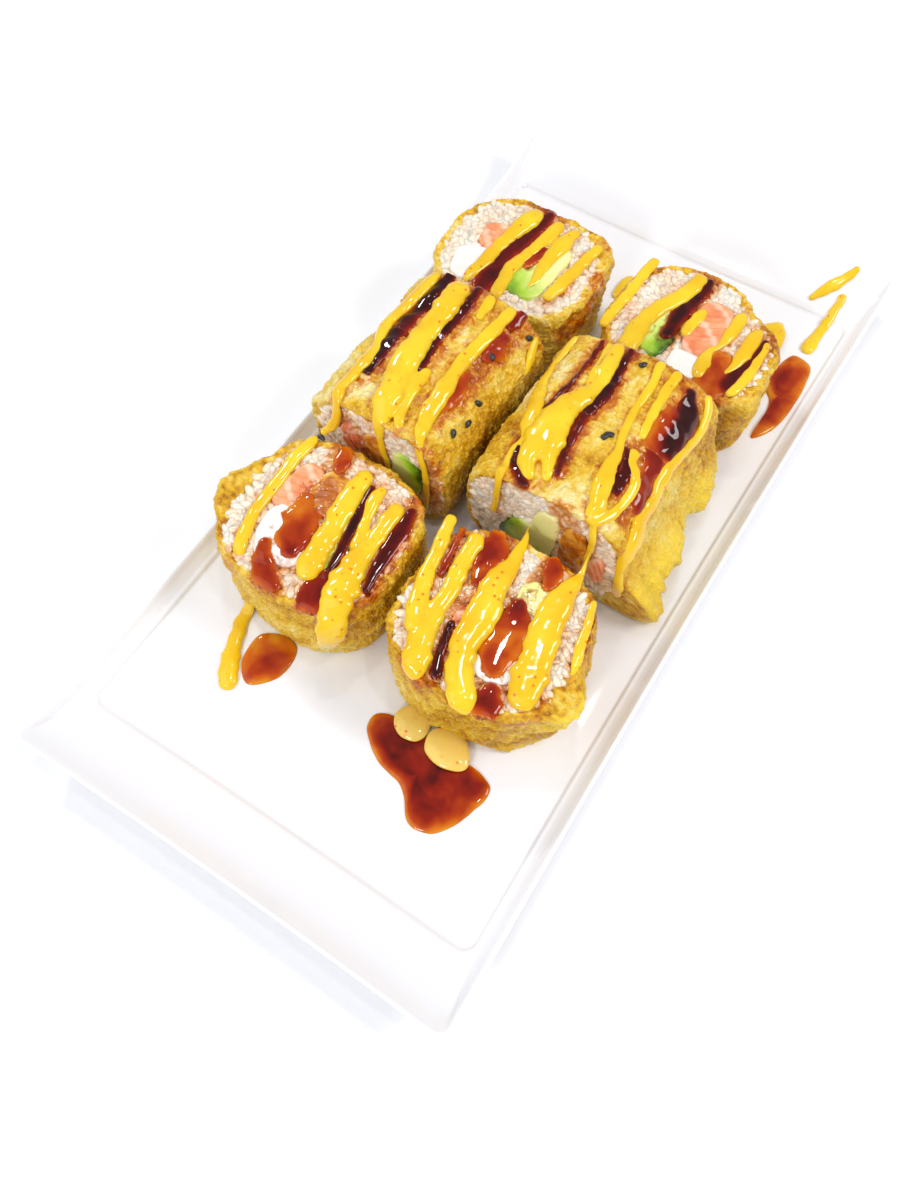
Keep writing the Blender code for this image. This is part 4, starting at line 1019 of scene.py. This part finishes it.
def crustEdge(name, angle, height, inner, t, upper, joined):
    # radius, height and tone on a cut edge, a share t of the way from the outside to the inside
    seed = slices[name]["seed"]
    rounding = crustLook["jointRound"] if joined else crustLook["round"]
    outer = outerRadius(name, angle, height) - rounding * (1 - t)
    radius = outer + (inner - outer) * t
    rough = noise.noise(Vector((radius * math.cos(angle), radius * math.sin(angle), seed)) / 1.6)
    if not joined:
        flap = max(0.0, ripple(angle, 4, seed + 9)) * math.sin(math.pi * clamp(t))
        height += (0.5 * rough + 1.1 * flap - 0.7 * t) * (1 if upper else -0.4)
    return radius, height, crustLook["cutTone"] + 0.5 * rough


def makeCrust(name):
    # one closed band: up the outside, over the upper cut, down the inside and back over the lower cut
    size = slices[name]
    wall, edge, inside = crustLook["wallRows"], crustLook["edgeRows"], crustLook["insideRows"]
    total = wall + 2 * edge + inside
    joins = joinedEnds(name)
    low, high = -crustLook["joint"] * joins[0], size["tall"] + crustLook["joint"] * joins[1]
    bm = bmesh.new()
    batterToneAndShade = bm.verts.layers.float.new("batterToneAndShade")
    thin = bm.verts.layers.float.new("flake")
    inners = {}
    for vert, u, v in gridPoints(bm, crustLook["columns"], total):
        u = round(u, 6) % 1.0
        step = round(v * total) % total
        angle = 2 * math.pi * u
        if u not in inners:
            inners[u] = innerRadius(name, angle)
        inner = inners[u]
        lift = 0.0
        if step <= wall:
            height = low + (high - low) * step / wall
            radius, value = crustWall(name, angle, height, joins)
            vert[thin] = clamp((radius - inner - crustThickness - crustLook["flake"]) / 6, 0.0, 0.7)
        elif wall + edge < step <= wall + edge + inside:
            height = high + (low - high) * (step - wall - edge) / inside
            radius, value, lift = inner, crustLook["insideTone"], crustLook["lift"]
        else:
            upper = step <= wall + edge
            t = (step - wall) / edge if upper else 1 - (step - wall - edge - inside) / edge
            start = high if upper else low
            radius, height, value = crustEdge(name, angle, start, inner, t, upper, joins[upper])
            lift = crustLook["lift"] * t
        x, y = radius * math.cos(angle), radius * math.sin(angle)
        if size["standing"]:
            height = max(height, 0.02)
        else:
            y = max(y, -restDepth + lift + 0.12 * noise.noise(Vector((x, height, size["seed"])) / 2))
        vert.co = toPlate(size, x, y, height)
        vert[batterToneAndShade] = clamp(value)
    return finishPiece("crust_" + name[6:], bm, "crust", [name + "_crust"], strokes=stains(name))


for sliceName in slices:
    makeCrust(sliceName)
print("crusts made")


# rice: a core, and cooked grains at each cut that shows

riceLook = {
    "seed": 5,
    "spacing": 2.3,
    "long": (2.3, 3.0),
    "wide": (1.15, 1.45),
    "depths": (1.35, 0.95),
    "sink": 0.7,  # of the core's end under the grains, and of its other end
    "farSink": 0.25,
    "around": 96,
    "capRings": 12,
    "wallRows": 6,
    "inset": 0.45,  # of the core in the crust
    "lift": 2.85,
}

# kind, centre and half sizes in the section (mm), turn,
# and for avocado the way to its skin, its green in the middle and how much more it gains on the way
fillings = {
    "slice_a": [
        ("avocado", (1.5, 8.2), (14.0, 7.2), -3, (1.0, -0.35, 0.34, 0.40)),
        ("cream_cheese", (11.0, -13.0), (7.6, 6.0), 20, None),
        ("salmon", (-3.5, -11.0), (6.2, 5.4), 10, None),
    ],
    "slice_b": [
        ("salmon", (-1.5, 3.8), (12.2, 6.4), 4, None),
        ("cream_cheese", (14.4, 4.0), (4.6, 6.4), 0, None),
        ("avocado", (4.5, -9.4), (12.0, 5.2), 2, (0.6, 0.8, 0.52, 0.40)),
    ],
    "slice_e": [
        ("cream_cheese", (9.0, -6.0), (9.8, 8.6), 12, None),
        ("glazed_strip", (-9.5, -3.0), (7.4, 6.0), -4, None),
        ("salmon", (-6.5, -13.0), (9.4, 4.2), -10, None),
        ("avocado", (2.0, 9.0), (11.5, 5.0), 8, (0.3, 1.0, 0.36, 0.50)),
    ],
    "slice_f": [
        ("cream_cheese", (4.6, 8.1), (12.0, 6.6), -4, None),
        ("avocado", (-12.4, 7.9), (5.2, 6.6), 8, (-0.6, -0.8, 0.14, 0.20)),
        ("glazed_strip", (-9.6, -6.3), (8.4, 4.4), 6, None),
        ("salmon", (6.8, -5.9), (7.6, 4.4), 10, None),
    ],
    "slice_c1": [
        ("avocado", (10.4, 1.4), (5.6, 11.0), 0, (0.8, 0.6, 0.36, 0.52)),
        ("salmon", (-8.4, 2.0), (4.2, 12.0), 0, None),
    ],
    "slice_c2": [
        ("avocado", (10.4, 1.4), (5.6, 11.0), -6, (0.85, 0.5, 0.42, 0.50)),
        ("glazed_strip", (-0.9, 2.4), (4.6, 12.4), 0, None),
        ("salmon", (-9.8, 1.6), (3.6, 11.6), 6, None),
    ],
    "slice_d1": [
        ("avocado", (-2.6, -1.0), (8.6, 11.4), 0, (-0.8, -0.5, 0.36, 0.50)),
        ("salmon", (11.0, 1.0), (4.6, 10.6), 0, None),
    ],
    "slice_d2": [
        ("avocado", (0.4, 1.6), (4.6, 13.6), -6, (-0.2, -1.0, 0.30, 0.22)),
        ("avocado_2", (-8.6, -2.8), (4.0, 8.2), -32, (-0.9, 0.2, 0.66, 0.30)),
        ("glazed_strip", (11.0, 0.8), (4.7, 13.0), 0, None),
        ("salmon", (19.4, -1.8), (2.8, 6.6), 4, None),
    ],
}


def fillingRadius(half, angle, seed):
    radius = squareRadius(half, angle, fillingPower)
    return radius * (1 + 0.10 * ripple(angle, 1.7, seed))


def insideFilling(name, x, y, grow):
    # whether a place in the section lies over a filling, or less than so much outside it
    for kind, centre, half, turn, skin in fillings[name]:
        fx, fy = turned(x - centre[0], y - centre[1], math.radians(-turn))
        if math.hypot(fx, fy) < fillingRadius(half, math.atan2(fy, fx), slices[name]["seed"]) + grow:
            return True
    return False


def grainMesh(count):
    # so many grains of rice in one mesh, all still at the origin
    bm = bmesh.new()
    bmesh.ops.create_uvsphere(bm, u_segments=8, v_segments=6, radius=1.0)
    holder = objectFrom(meshFrom(bm, "grain"), "grain")
    array = holder.modifiers.new("array", "ARRAY")
    array.count = count
    array.use_relative_offset = False
    array.use_constant_offset = True
    array.constant_offset_displace = (0.0, 0.0, 0.0)
    return appliedMesh(holder)


def grainSpots(name, cut, outward, draw):
    # where the grains of one cut lie: two loose layers, none over a filling
    size = slices[name]
    gap = riceLook["spacing"]
    reach = int(max(size["half"]) / gap) + 2
    spots = []
    for layer, depth in enumerate(riceLook["depths"]):
        for i in range(-reach, reach + 1):
            for j in range(-reach, reach + 1):
                x = (i + 0.5 * (j % 2) + draw.uniform(-0.35, 0.35) + 0.25 * layer) * gap
                y = (0.87 * j + draw.uniform(-0.35, 0.35) + 0.4 * layer) * gap
                level = cut - outward * (depth + draw.uniform(-0.35, 0.35))
                thinned = layer and draw.random() < 0.15
                if thinned or math.hypot(x, y) > innerRadius(name, math.atan2(y, x)) + 0.3:
                    continue
                if not size["standing"] and y < -restDepth + 4.0:
                    continue
                if not insideFilling(name, x, y, 0.2):
                    spots.append((x, y, level))
    return spots


def addGrains(bm, name, cut, draw):
    # cooked grains, cut flat where the knife passed
    size = slices[name]
    outward = 1 if cut else -1
    limit = cut + 0.4 * outward
    spots = grainSpots(name, cut, outward, draw)
    mesh = grainMesh(len(spots))
    points = np.empty(3 * len(mesh.vertices), dtype=np.float32)
    mesh.vertices.foreach_get("co", points)
    points = points.reshape(len(spots), -1, 3)
    for k, (x, y, level) in enumerate(spots):
        long, wide = draw.uniform(*riceLook["long"]), draw.uniform(*riceLook["wide"])
        turn = Matrix.Rotation(draw.uniform(0, math.pi), 3, "Z")
        turn = turn @ Matrix.Rotation(draw.uniform(-0.35, 0.35), 3, "Y")
        shape = turn @ Matrix.Diagonal((long, wide, wide * draw.uniform(0.85, 1.0)))
        points[k] = points[k] @ np.array(shape).T + np.array((x, y, level))
    over = (points[:, :, 2] - limit) * outward > 0
    points[:, :, 2] = np.where(over, limit + 0.25 * (points[:, :, 2] - limit), points[:, :, 2])
    x, y, level = points[:, :, 0], points[:, :, 1], points[:, :, 2]
    middle = toPlate(size, 0, 0, 0) / mm
    placed = (x, y, level) if size["standing"] else (level, x, y)
    placed = np.stack([value + middle[axis] for axis, value in enumerate(placed)], axis=2) * mm
    mesh.vertices.foreach_set("co", placed.astype(np.float32).ravel())
    addMesh(bm, mesh)


def makeRice(name):
    size = slices[name]
    tall, seed = size["tall"], size["seed"]
    cut = tall if size["standing"] or name.endswith("2") else 0.0
    sink, farSink = riceLook["sink"], riceLook["farSink"]
    ends = (sink if cut == 0.0 else farSink, tall - (sink if cut else farSink))
    caps, wall = riceLook["capRings"], riceLook["wallRows"]
    total = 2 * caps + wall

    def corePlace(u, v):
        angle = 2 * math.pi * (u % 1.0)
        step = v * total
        share = clamp(min(step, total - step) / caps)
        height = ends[0] + (ends[1] - ends[0]) * clamp((step - caps) / wall)
        radius = (innerRadius(name, angle) - riceLook["inset"]) * share
        x, y = radius * math.cos(angle), radius * math.sin(angle)
        if not size["standing"]:
            y = max(y, -restDepth + riceLook["lift"])
        if share < 1:
            height += 0.3 * noise.noise(Vector((x, y, seed)) / 1.7)
            if insideFilling(name, x, y, 0.6):
                height += 1.2 if height < tall / 2 else -1.2
        return toPlate(size, x, y, height)

    bm = bmesh.new()
    mappedGrid(bm, riceLook["around"], total, corePlace)
    closeUp(bm)
    addGrains(bm, name, cut, random.Random(riceLook["seed"] + seed))
    return finishPiece("rice_" + name[6:], bm, "rice", [name + "_rice"], strokes=stains(name))


for sliceName in slices:
    makeRice(sliceName)
print("rice made")


# fillings, each a strip through the slice with its own look where it is cut

fillingLook = {
    "avocado": {"crown": 0.35, "lump": 0.25, "size": 5.0, "ridge": 0.0},
    "cream_cheese": {"crown": 0.5, "lump": 0.4, "size": 5.0, "ridge": 0.0},
    "salmon": {"crown": 0.4, "lump": 0.45, "size": 3.4, "ridge": 0.35},
    "glazed_strip": {"crown": 0.4, "lump": 0.5, "size": 3.0, "ridge": 0.25},
}
fillingRings = {"around": 72, "cap": 16, "wall": 14}


def cutLump(look, fx, fy, spot, share):
    # how a cut face swells and dips, less and less toward its rim
    lump = look["lump"] * (noise.noise(spot / look["size"]) + 0.3 * noise.noise(spot / 1.3))
    lump += look["ridge"] * math.sin(2.1 * (fx + 0.4 * fy) + 3 * noise.noise(spot / 5))
    return lump * (1 - share ** 6)


def makeFilling(name, kind, centre, half, turn, skin):
    size = slices[name]
    plain = kind.replace("_2", "")
    look = fillingLook[plain]
    tall, seed, crown = size["tall"], size["seed"], look["crown"]
    caps, wall = fillingRings["cap"], fillingRings["wall"]
    total = 2 * caps + wall
    bm = bmesh.new()
    skinLayer = bm.verts.layers.float.new("skin")
    for vert, u, v in gridPoints(bm, fillingRings["around"], total):
        angle = 2 * math.pi * (round(u, 6) % 1.0)
        step = v * total
        share = clamp(min(step, total - step) / caps)
        radius = fillingRadius(half, angle, seed) * share
        fx, fy = radius * math.cos(angle), radius * math.sin(angle)
        shiftX, shiftY = turned(fx, fy, math.radians(turn))
        x, y = centre[0] + shiftX, centre[1] + shiftY
        lump = cutLump(look, fx, fy, Vector((x, y, seed * 3.7)), share)
        if share >= 1:
            height = 0.25 + 0.4 * crown + (tall - crown) * clamp((step - caps) / wall)
        elif step < total / 2:
            height = 0.25 + 0.4 * crown * share ** 5 - 0.5 * lump
        else:
            height = tall + 0.8 - crown * (1 - math.sqrt(max(0.0, 1 - share ** 5))) + lump
        vert.co = toPlate(size, x, y, height)
        if skin:
            lean = (x - centre[0]) / half[0] * skin[0] + (y - centre[1]) / half[1] * skin[1]
            vert[skinLayer] = clamp(skin[2] + skin[3] * lean)
    return finishPiece(kind + "_" + name[6:], bm, plain, [name + "_" + kind], strokes=stains(name))


for sliceName, rows in fillings.items():
    for row in rows:
        makeFilling(sliceName, *row)
print("fillings made")


# strands of mayonnaise: each a soft flat bead, and those of a slice run into one

strandLook = {
    "step": 0.7,
    "sides": 14,
    "share": 0.34,
    "least": 1.0,
    "most": 2.9,
    "sink": 0.8,
    "voxel": 0.42,
    "smooth": 5,
}


def strandRows(name, points):
    # each control point as place, facing and width
    size = slices[name]
    middle = Vector(size["place"])
    rows = []
    for x, y, width, *rise in points:
        if not rise:
            spot, facing = surfaceSpot(name, x, y)
        else:
            spot = Vector((x, y, *rise))
            facing = Vector((*(spot.xy - middle), 4.0)) if size["standing"] else Vector((1, 0, 0.15))
        rows.append([*spot, *facing.normalized(), width])
    return rows


def addStrand(bm, rows, seed, look=strandLook):
    curve = smoothCurve(rows, look["step"])
    places = [Vector(row[:3]) for row in curve]
    lengths = [0.0]
    for one, two in zip(places, places[1:]):
        lengths.append(lengths[-1] + (two - one).length)
    full = lengths[-1]
    last = len(curve) - 1

    def place(u, v):
        k = min(last, round(v * last))
        ahead = places[min(k + 1, last)] - places[max(k - 1, 0)]
        facing = Vector(curve[k][3:6]).normalized()
        side = ahead.cross(facing).normalized()
        width = curve[k][6] * (1 + 0.16 * noise.noise(Vector((lengths[k] / 6, seed, 0.3))))
        near = min(lengths[k], full - lengths[k])
        cap = min(1.0, near / (0.5 * width))
        cap = math.sqrt(max(0.0, 1 - (1 - cap) ** 2))
        tall = clamp(look["share"] * width, look["least"], look["most"])
        turn = 2 * math.pi * u
        cos, sin = math.cos(turn), math.sin(turn)
        ragged = 1 + 0.22 * noise.noise(Vector((lengths[k] / 2.8, seed, 2.0 if cos > 0 else 6.0)))
        across = 0.5 * width * cap * ragged * math.copysign(abs(cos) ** 0.85, cos)
        rise = tall * abs(sin) ** 0.7 if sin > 0 else -look["sink"] * abs(sin)
        drift = side * 0.35 * noise.noise(Vector((lengths[k] / 7, seed + 3, 0.7)))
        return (places[k] + drift + side * across + facing * rise * cap) * mm

    part = bmesh.new()
    mappedGrid(part, look["sides"], last, place)
    closeUp(part)
    addMesh(bm, meshFrom(part, "strand"))


for sliceName, strands in drizzle.items():
    bm = bmesh.new()
    for number, points in enumerate(strands):
        addStrand(bm, strandRows(sliceName, points), slices[sliceName]["seed"] + 7 * number)
    bm = fuse(bm, strandLook["voxel"], strandLook["smooth"], 0.16)
    finishPiece("drizzle_" + sliceName[6:], bm, "mayonnaise", [sliceName + "_crust"])
print("drizzle made")


# films of brown sauce over the slices

filmLook = {
    "step": 0.5,
    "thick": 0.55,
    "level": 0.15,
    "over": 0.7,
    "drop": 1.0,
    "ragged": 0.2,
    "shell": 0.6,
}


def strokeShare(x, y, strokes, seed):
    # 1 in the middle of a stroke, 0 at its edge and below 0 outside it,
    # with the depth of the strokes about there
    best, weight, deep = -9.0, 0.0, 0.0
    spot = Vector((x, y, seed))
    warp = 1.06 + filmLook["ragged"] * (noise.noise(spot / 4.4) + 0.35 * noise.noise(spot / 1.8))
    for depth, stroke in strokes:
        for (ax, ay, aw), (bx, by, bw) in zip(stroke, stroke[1:]):
            dx, dy = bx - ax, by - ay
            t = clamp(((x - ax) * dx + (y - ay) * dy) / (dx * dx + dy * dy))
            away = math.hypot(x - ax - t * dx, y - ay - t * dy)
            radius = 0.5 * (aw + (bw - aw) * t) * warp
            share = 1 - (away / radius) ** 2
            best = max(best, share)
            near = math.exp(3 * max(share, -3.0))
            weight, deep = weight + near, deep + near * depth
    return best, deep / weight


def filmField(name, strokes):
    # the part of the plate that a slice's film may cover, which ends at the cuts of a lying slice
    size = slices[name]
    rows = [row for depth, stroke in strokes for row in stroke]
    (lowX, highX), (lowY, highY) = ((min(axis) - 5, max(axis) + 5) for axis in list(zip(*rows))[:2])
    if not size["standing"]:
        joins, start = joinedEnds(name), size["place"][0]
        lowX = max(lowX, start + (-0.4 if joins[0] else 0.1))
        highX = min(highX, start + size["tall"] + (0.4 if joins[1] else -0.1))
    return lowX, lowY, highX - lowX, highY - lowY


def makeFilm(name, strokes):
    size = slices[name]
    look = filmLook
    lowX, lowY, wide, deep = filmField(name, strokes)
    bm = bmesh.new()
    deepLayer = bm.verts.layers.float.new("deep")
    outside = []
    for vert, u, v in gridPoints(bm, round(wide / look["step"]), round(deep / look["step"])):
        x, y = lowX + u * wide, lowY + v * deep
        share, depth = strokeShare(x, y, strokes, size["seed"])
        spot, facing = surfaceSpot(name, x, y)
        level = look["level"]
        if size["standing"]:
            own = (x - size["place"][0], y - size["place"][1])
            rim = outerRadius(name, math.atan2(own[1], own[0]), size["tall"]) - math.hypot(*own)
            share = min(share, rim / 2.4 - 0.1)
            level += look["over"] / 3 * sum(insideFilling(name, *own, grow) for grow in (-0.8, 0.4, 1.6))
        if share < -0.55:
            outside.append(vert)
        rise = look["thick"] * math.sqrt(share) if share > 0 else look["drop"] * max(share, -0.9)
        vert.co = (spot + facing * (level + rise)) * mm
        vert[deepLayer] = depth * clamp(0.55 + 0.5 * share)
    bmesh.ops.delete(bm, geom=outside, context="VERTS")
    bmesh.ops.delete(bm, geom=[edge for edge in bm.edges if not edge.link_faces], context="EDGES")
    bmesh.ops.recalc_face_normals(bm, faces=bm.faces)
    if sum(face.normal.z for face in bm.faces) < 0:
        bmesh.ops.reverse_faces(bm, faces=bm.faces)
    bmesh.ops.solidify(bm, geom=bm.faces[:], thickness=look["shell"] * mm)
    return finishPiece("sauce_film_" + name[6:], bm, "brown_sauce")


for sliceName, strokes in films.items():
    makeFilm(sliceName, strokes)
print("films made")


# sauces on the plate

pools = {
    "sauce_pool_front": [
        (84.5, 48.2), (96.7, 47.3), (105.3, 42.0), (106.6, 34.0), (99.0, 26.7), (96.2, 16.0),
        (88.6, 7.2), (82.6, 10.0), (81.8, 28.0),
    ],
    "sauce_pool_left": [
        (81.0, -25.2), (91.0, -24.8), (97.6, -31.6), (93.0, -37.8), (83.0, -38.8), (78.6, -31.0),
    ],
    "sauce_pool_back": [
        (-106.8, 57.4), (-105.0, 64.6), (-95.0, 66.4), (-84.0, 66.4), (-73.6, 64.8), (-66.8, 60.6),
        (-68.5, 59.2), (-77.0, 59.6), (-84.6, 58.2), (-88.6, 54.8), (-93.4, 53.6), (-100.0, 54.8),
    ],
}

poolLook = {
    "tall": 0.95,
    "swell": 2.2,  # how far in from the edge a pool reaches its full height
    "around": 20,
    "rings": 26,
    "depths": {"sauce_pool_front": 0.66, "sauce_pool_left": 0.46, "sauce_pool_back": 0.48},
}


def makePool(name, points):
    edge = closedCurve(points, poolLook["around"])
    middle = sum(edge, Vector((0, 0))) / len(edge)
    count = len(edge)
    rings = poolLook["rings"]
    bm = bmesh.new()
    deepLayer = bm.verts.layers.float.new("deep")
    for vert, u, v in gridPoints(bm, count, rings):
        top = v < 0.9  # the last rings close the flat underside
        rim = edge[round(u * count) % count]
        out = rim - middle
        share = math.sin(0.5 * math.pi * min(1.0, 1.12 * v)) if top else (1 - v) / 0.1
        spot = middle + out * share
        spot += out.normalized() * 0.35 * noise.noise(Vector((*rim, 2.0)) / 4) * share
        away = (1 - share) * out.length
        swell = math.sqrt(clamp(1 - (1 - clamp(away / poolLook["swell"])) ** 2))
        level = poolLook["tall"] * swell if top else 0.0
        vert.co = Vector((spot.x, spot.y, floorTop + 0.03 + level)) * mm
        vert[deepLayer] = poolLook["depths"][name] * clamp((away / 8.0) ** 0.6)
    return finishPiece(name[6:] + "_sauce", bm, "brown_sauce", [name])


for poolName, points in pools.items():
    makePool(poolName, points)

drops = {
    "mayo_drop_front_1": {"place": (82.0, 31.6), "half": (5.8, 7.0), "tall": 2.8, "turn": 8, "tail": 0.34},
    "mayo_drop_front_2": {"place": (81.2, 18.6), "half": (5.4, 5.6), "tall": 2.7, "turn": 0, "tail": 0.12},
    "mayo_drop_back_1": {"place": (-107.5, 46.8), "half": (9.6, 5.2), "tall": 2.8, "turn": 0},
    "mayo_drop_back_2": {"place": (-111.4, 31.4), "half": (9.2, 3.6), "tall": 2.4, "turn": 3},
    "mayo_drop_back_3": {"place": (-113.4, 19.2), "half": (10.2, 4.2), "tall": 2.6, "turn": 2},
    "mayo_drop_back_4": {"place": (-102.6, -9.8), "half": (6.2, 2.2), "tall": 1.6, "turn": -4},
}
dropBase = {"front": 7.8, "back": 6.5}  # height of a drop's foot: on the sauce, or on the plate


def makeDrop(name, size, number):
    front = "front" in name
    middle = Vector((*size["place"], dropBase["front" if front else "back"]))

    def place(u, v):
        angle = 2 * math.pi * u
        rise = math.cos(math.pi * v)
        wave = 1 + 0.09 * ripple(angle, 1.6, 4.0 + number)
        wave += size.get("tail", 0.0) * max(0.0, math.cos(angle - 0.9)) ** 5
        wave *= math.sin(math.pi * v)
        x, y = size["half"][0] * wave * math.cos(angle), size["half"][1] * wave * math.sin(angle)
        level = (0.35 + (0.65 if rise > 0 else 0.35) * rise) * size["tall"]
        return (middle + Vector((*turned(x, y, math.radians(size["turn"])), level))) * mm

    bm = bmesh.new()
    pale = bm.verts.layers.float.new("pale")
    for vert in mappedGrid(bm, 48, 24, place):
        vert[pale] = 0.75 if front else 0.0
    return finishPiece(name.replace("mayo_", ""), bm, "mayonnaise", [name])


for number, (dropName, size) in enumerate(drops.items()):
    makeDrop(dropName, size, number)

# a fourth number is the height above the plate, where a strand comes down a crust
floorStrands = {
    "mayo_strand_left": [
        (74.6, -46.4, 3.0, 7.5), (76.2, -46.4, 3.8, 3.8), (78.4, -46.6, 4.2, 0.6), (81.4, -46.4, 4.4),
        (86.0, -45.0, 5.6), (91.0, -42.8, 5.4), (95.6, -40.6, 6.2), (101.0, -36.8, 7.0), (103.0, -35.4, 6.4),
    ],
    "mayo_strand_back": [(-137.5, 61.9, 3.2), (-130, 61.6, 3.4), (-122, 61, 4.0), (-109.5, 60, 5.6)],
    "mayo_strand_lip": [(-146.6, 61.6, 2.4), (-143, 59.8, 3.8), (-139, 57, 4.8), (-131, 51.4, 2.2)],
}


def plateHeight(x):
    # height of the plate's inside at a distance x from its middle, away from its long sides
    rows = plateSizes["section"][:9]
    reach = [plateSizes["length"] / 2 - row[0] for row in rows]
    level = [row[3] + row[4] * plateCurl(at) for row, at in zip(rows, reach)]
    if abs(x) <= reach[0]:
        return level[0]
    for k in range(len(reach) - 1):
        if abs(x) <= reach[k + 1]:
            share = (abs(x) - reach[k]) / (reach[k + 1] - reach[k])
            return level[k] + share * (level[k + 1] - level[k])
    return level[-1]


floorLook = dict(strandLook, share=0.36, sink=0.25)
for number, (strandName, points) in enumerate(floorStrands.items()):
    rows = []
    for x, y, width, *rise in points:
        slope = (plateHeight(x + 1.5) - plateHeight(x - 1.5)) / 3
        facing = Vector((0.8 if rise else -slope, 0, 1)).normalized()
        rows.append([x, y, plateHeight(x) + 0.1 + sum(rise), *facing, width])
    bm = bmesh.new()
    addStrand(bm, rows, 60 + number, floorLook)
    bm = fuse(bm, 0.36, 4, 0.12)
    finishPiece(strandName.replace("mayo_", ""), bm, "mayonnaise", [strandName])
print("sauces on the plate made")


# black sesame on the crusts: slice, place on the plate, turn
seeds = [
    ("slice_c1", -35.6, -12.6, 0.7), ("slice_c1", -20.4, -17.4, 2.6), ("slice_c2", -5.4, -13.0, 0.4),
    ("slice_c2", 8.4, -13.6, 2.2), ("slice_d1", -39.4, 24.6, 0.9), ("slice_d2", -12.6, 28.2, 0.2),
    ("slice_d2", -11.2, 27.4, 1.1), ("slice_c2", 2.0, -12.2, 1.6), ("slice_e", 26.4, -50.0, 1.4),
]


def makeSeeds():
    bm = bmesh.new()
    for name, x, y, turn in seeds:
        spot, facing = surfaceSpot(name, x, y)
        stand = facing.to_track_quat("Z", "X").to_matrix().to_4x4()
        shape = Matrix.Diagonal((1.5, 0.95, 0.6, 1.0))
        made = bmesh.ops.create_uvsphere(bm, u_segments=14, v_segments=9, radius=1.0,
                                         matrix=Matrix.Rotation(turn, 4, "Z") @ shape)["verts"]
        for vert in made:
            vert.co.y *= 1 - 0.35 * vert.co.x / 1.5
            vert.co = (spot + facing * 0.45 + stand.to_3x3() @ vert.co) * mm
    finishPiece("sesame_seeds", bm, "sesame")


makeSeeds()
print("seeds made")


# stage: pale floor and soft studio light

def makeStage():
    bm = bmesh.new()
    bmesh.ops.create_grid(bm, x_segments=1, y_segments=1, size=3.0)
    floor = objectFrom(meshFrom(bm, "floor"), "floor")
    finish, tree, shader = newFinish("paleFloor")
    setShader(shader, Base_Color=(0.92, 0.92, 0.93, 1.0), Roughness=0.6)
    floor.data.materials.append(finish)


# a soft key from the far right, a weak fill, and small lamps that give the sauces their glints
lamps = {
    "key": {"place": (-0.35, 0.75, 0.80), "size": 0.36, "power": 5.2, "colour": (1.0, 0.99, 0.98)},
    "fill": {"place": (0.55, -0.45, 0.85), "size": 1.0, "power": 3.2, "colour": (0.94, 0.97, 1.0)},
    "front": {"place": (0.80, 0.05, 0.50), "size": 0.16, "power": 2.3, "colour": (0.98, 0.99, 1.0)},
    "glint": {"place": (-0.26, -0.12, 0.95), "size": 0.05, "power": 0.7, "colour": (1.0, 1.0, 1.0)},
    "second": {"place": (-0.02, 0.30, 0.95), "size": 0.05, "power": 0.7, "colour": (1.0, 1.0, 1.0)},
    "left": {"place": (-0.30, -0.75, 0.70), "size": 0.10, "power": 1.9, "colour": (1.0, 1.0, 1.0)},
}
lampAim = {"key": (0, 0, 0.02), "fill": (0, 0, 0.02)}  # the rest aim a little higher
foodAim = (0, 0, 0.03)


def makeLights():
    for name, lamp in lamps.items():
        data = bpy.data.lights.new(name, "AREA")
        data.shape = "SQUARE"
        data.size = lamp["size"]
        data.energy = lamp["power"]
        data.color = lamp["colour"]
        light = objectFrom(data, name)
        aim = Vector(lampAim.get(name, foodAim)) - Vector(lamp["place"])
        light.location = lamp["place"]
        light.rotation_mode = "QUATERNION"
        light.rotation_quaternion = aim.to_track_quat("-Z", "Y")
    world = bpy.data.worlds.new("studio")
    world.use_nodes = True
    sky = world.node_tree.nodes["Background"]
    sky.inputs["Color"].default_value = (0.96, 0.975, 1.0, 1.0)
    sky.inputs["Strength"].default_value = 0.48
    bpy.context.scene.world = world
    bpy.context.scene.view_settings.view_transform = "Standard"
    bpy.context.scene.view_settings.look = "None"


makeStage()
makeLights()
print("stage lit")
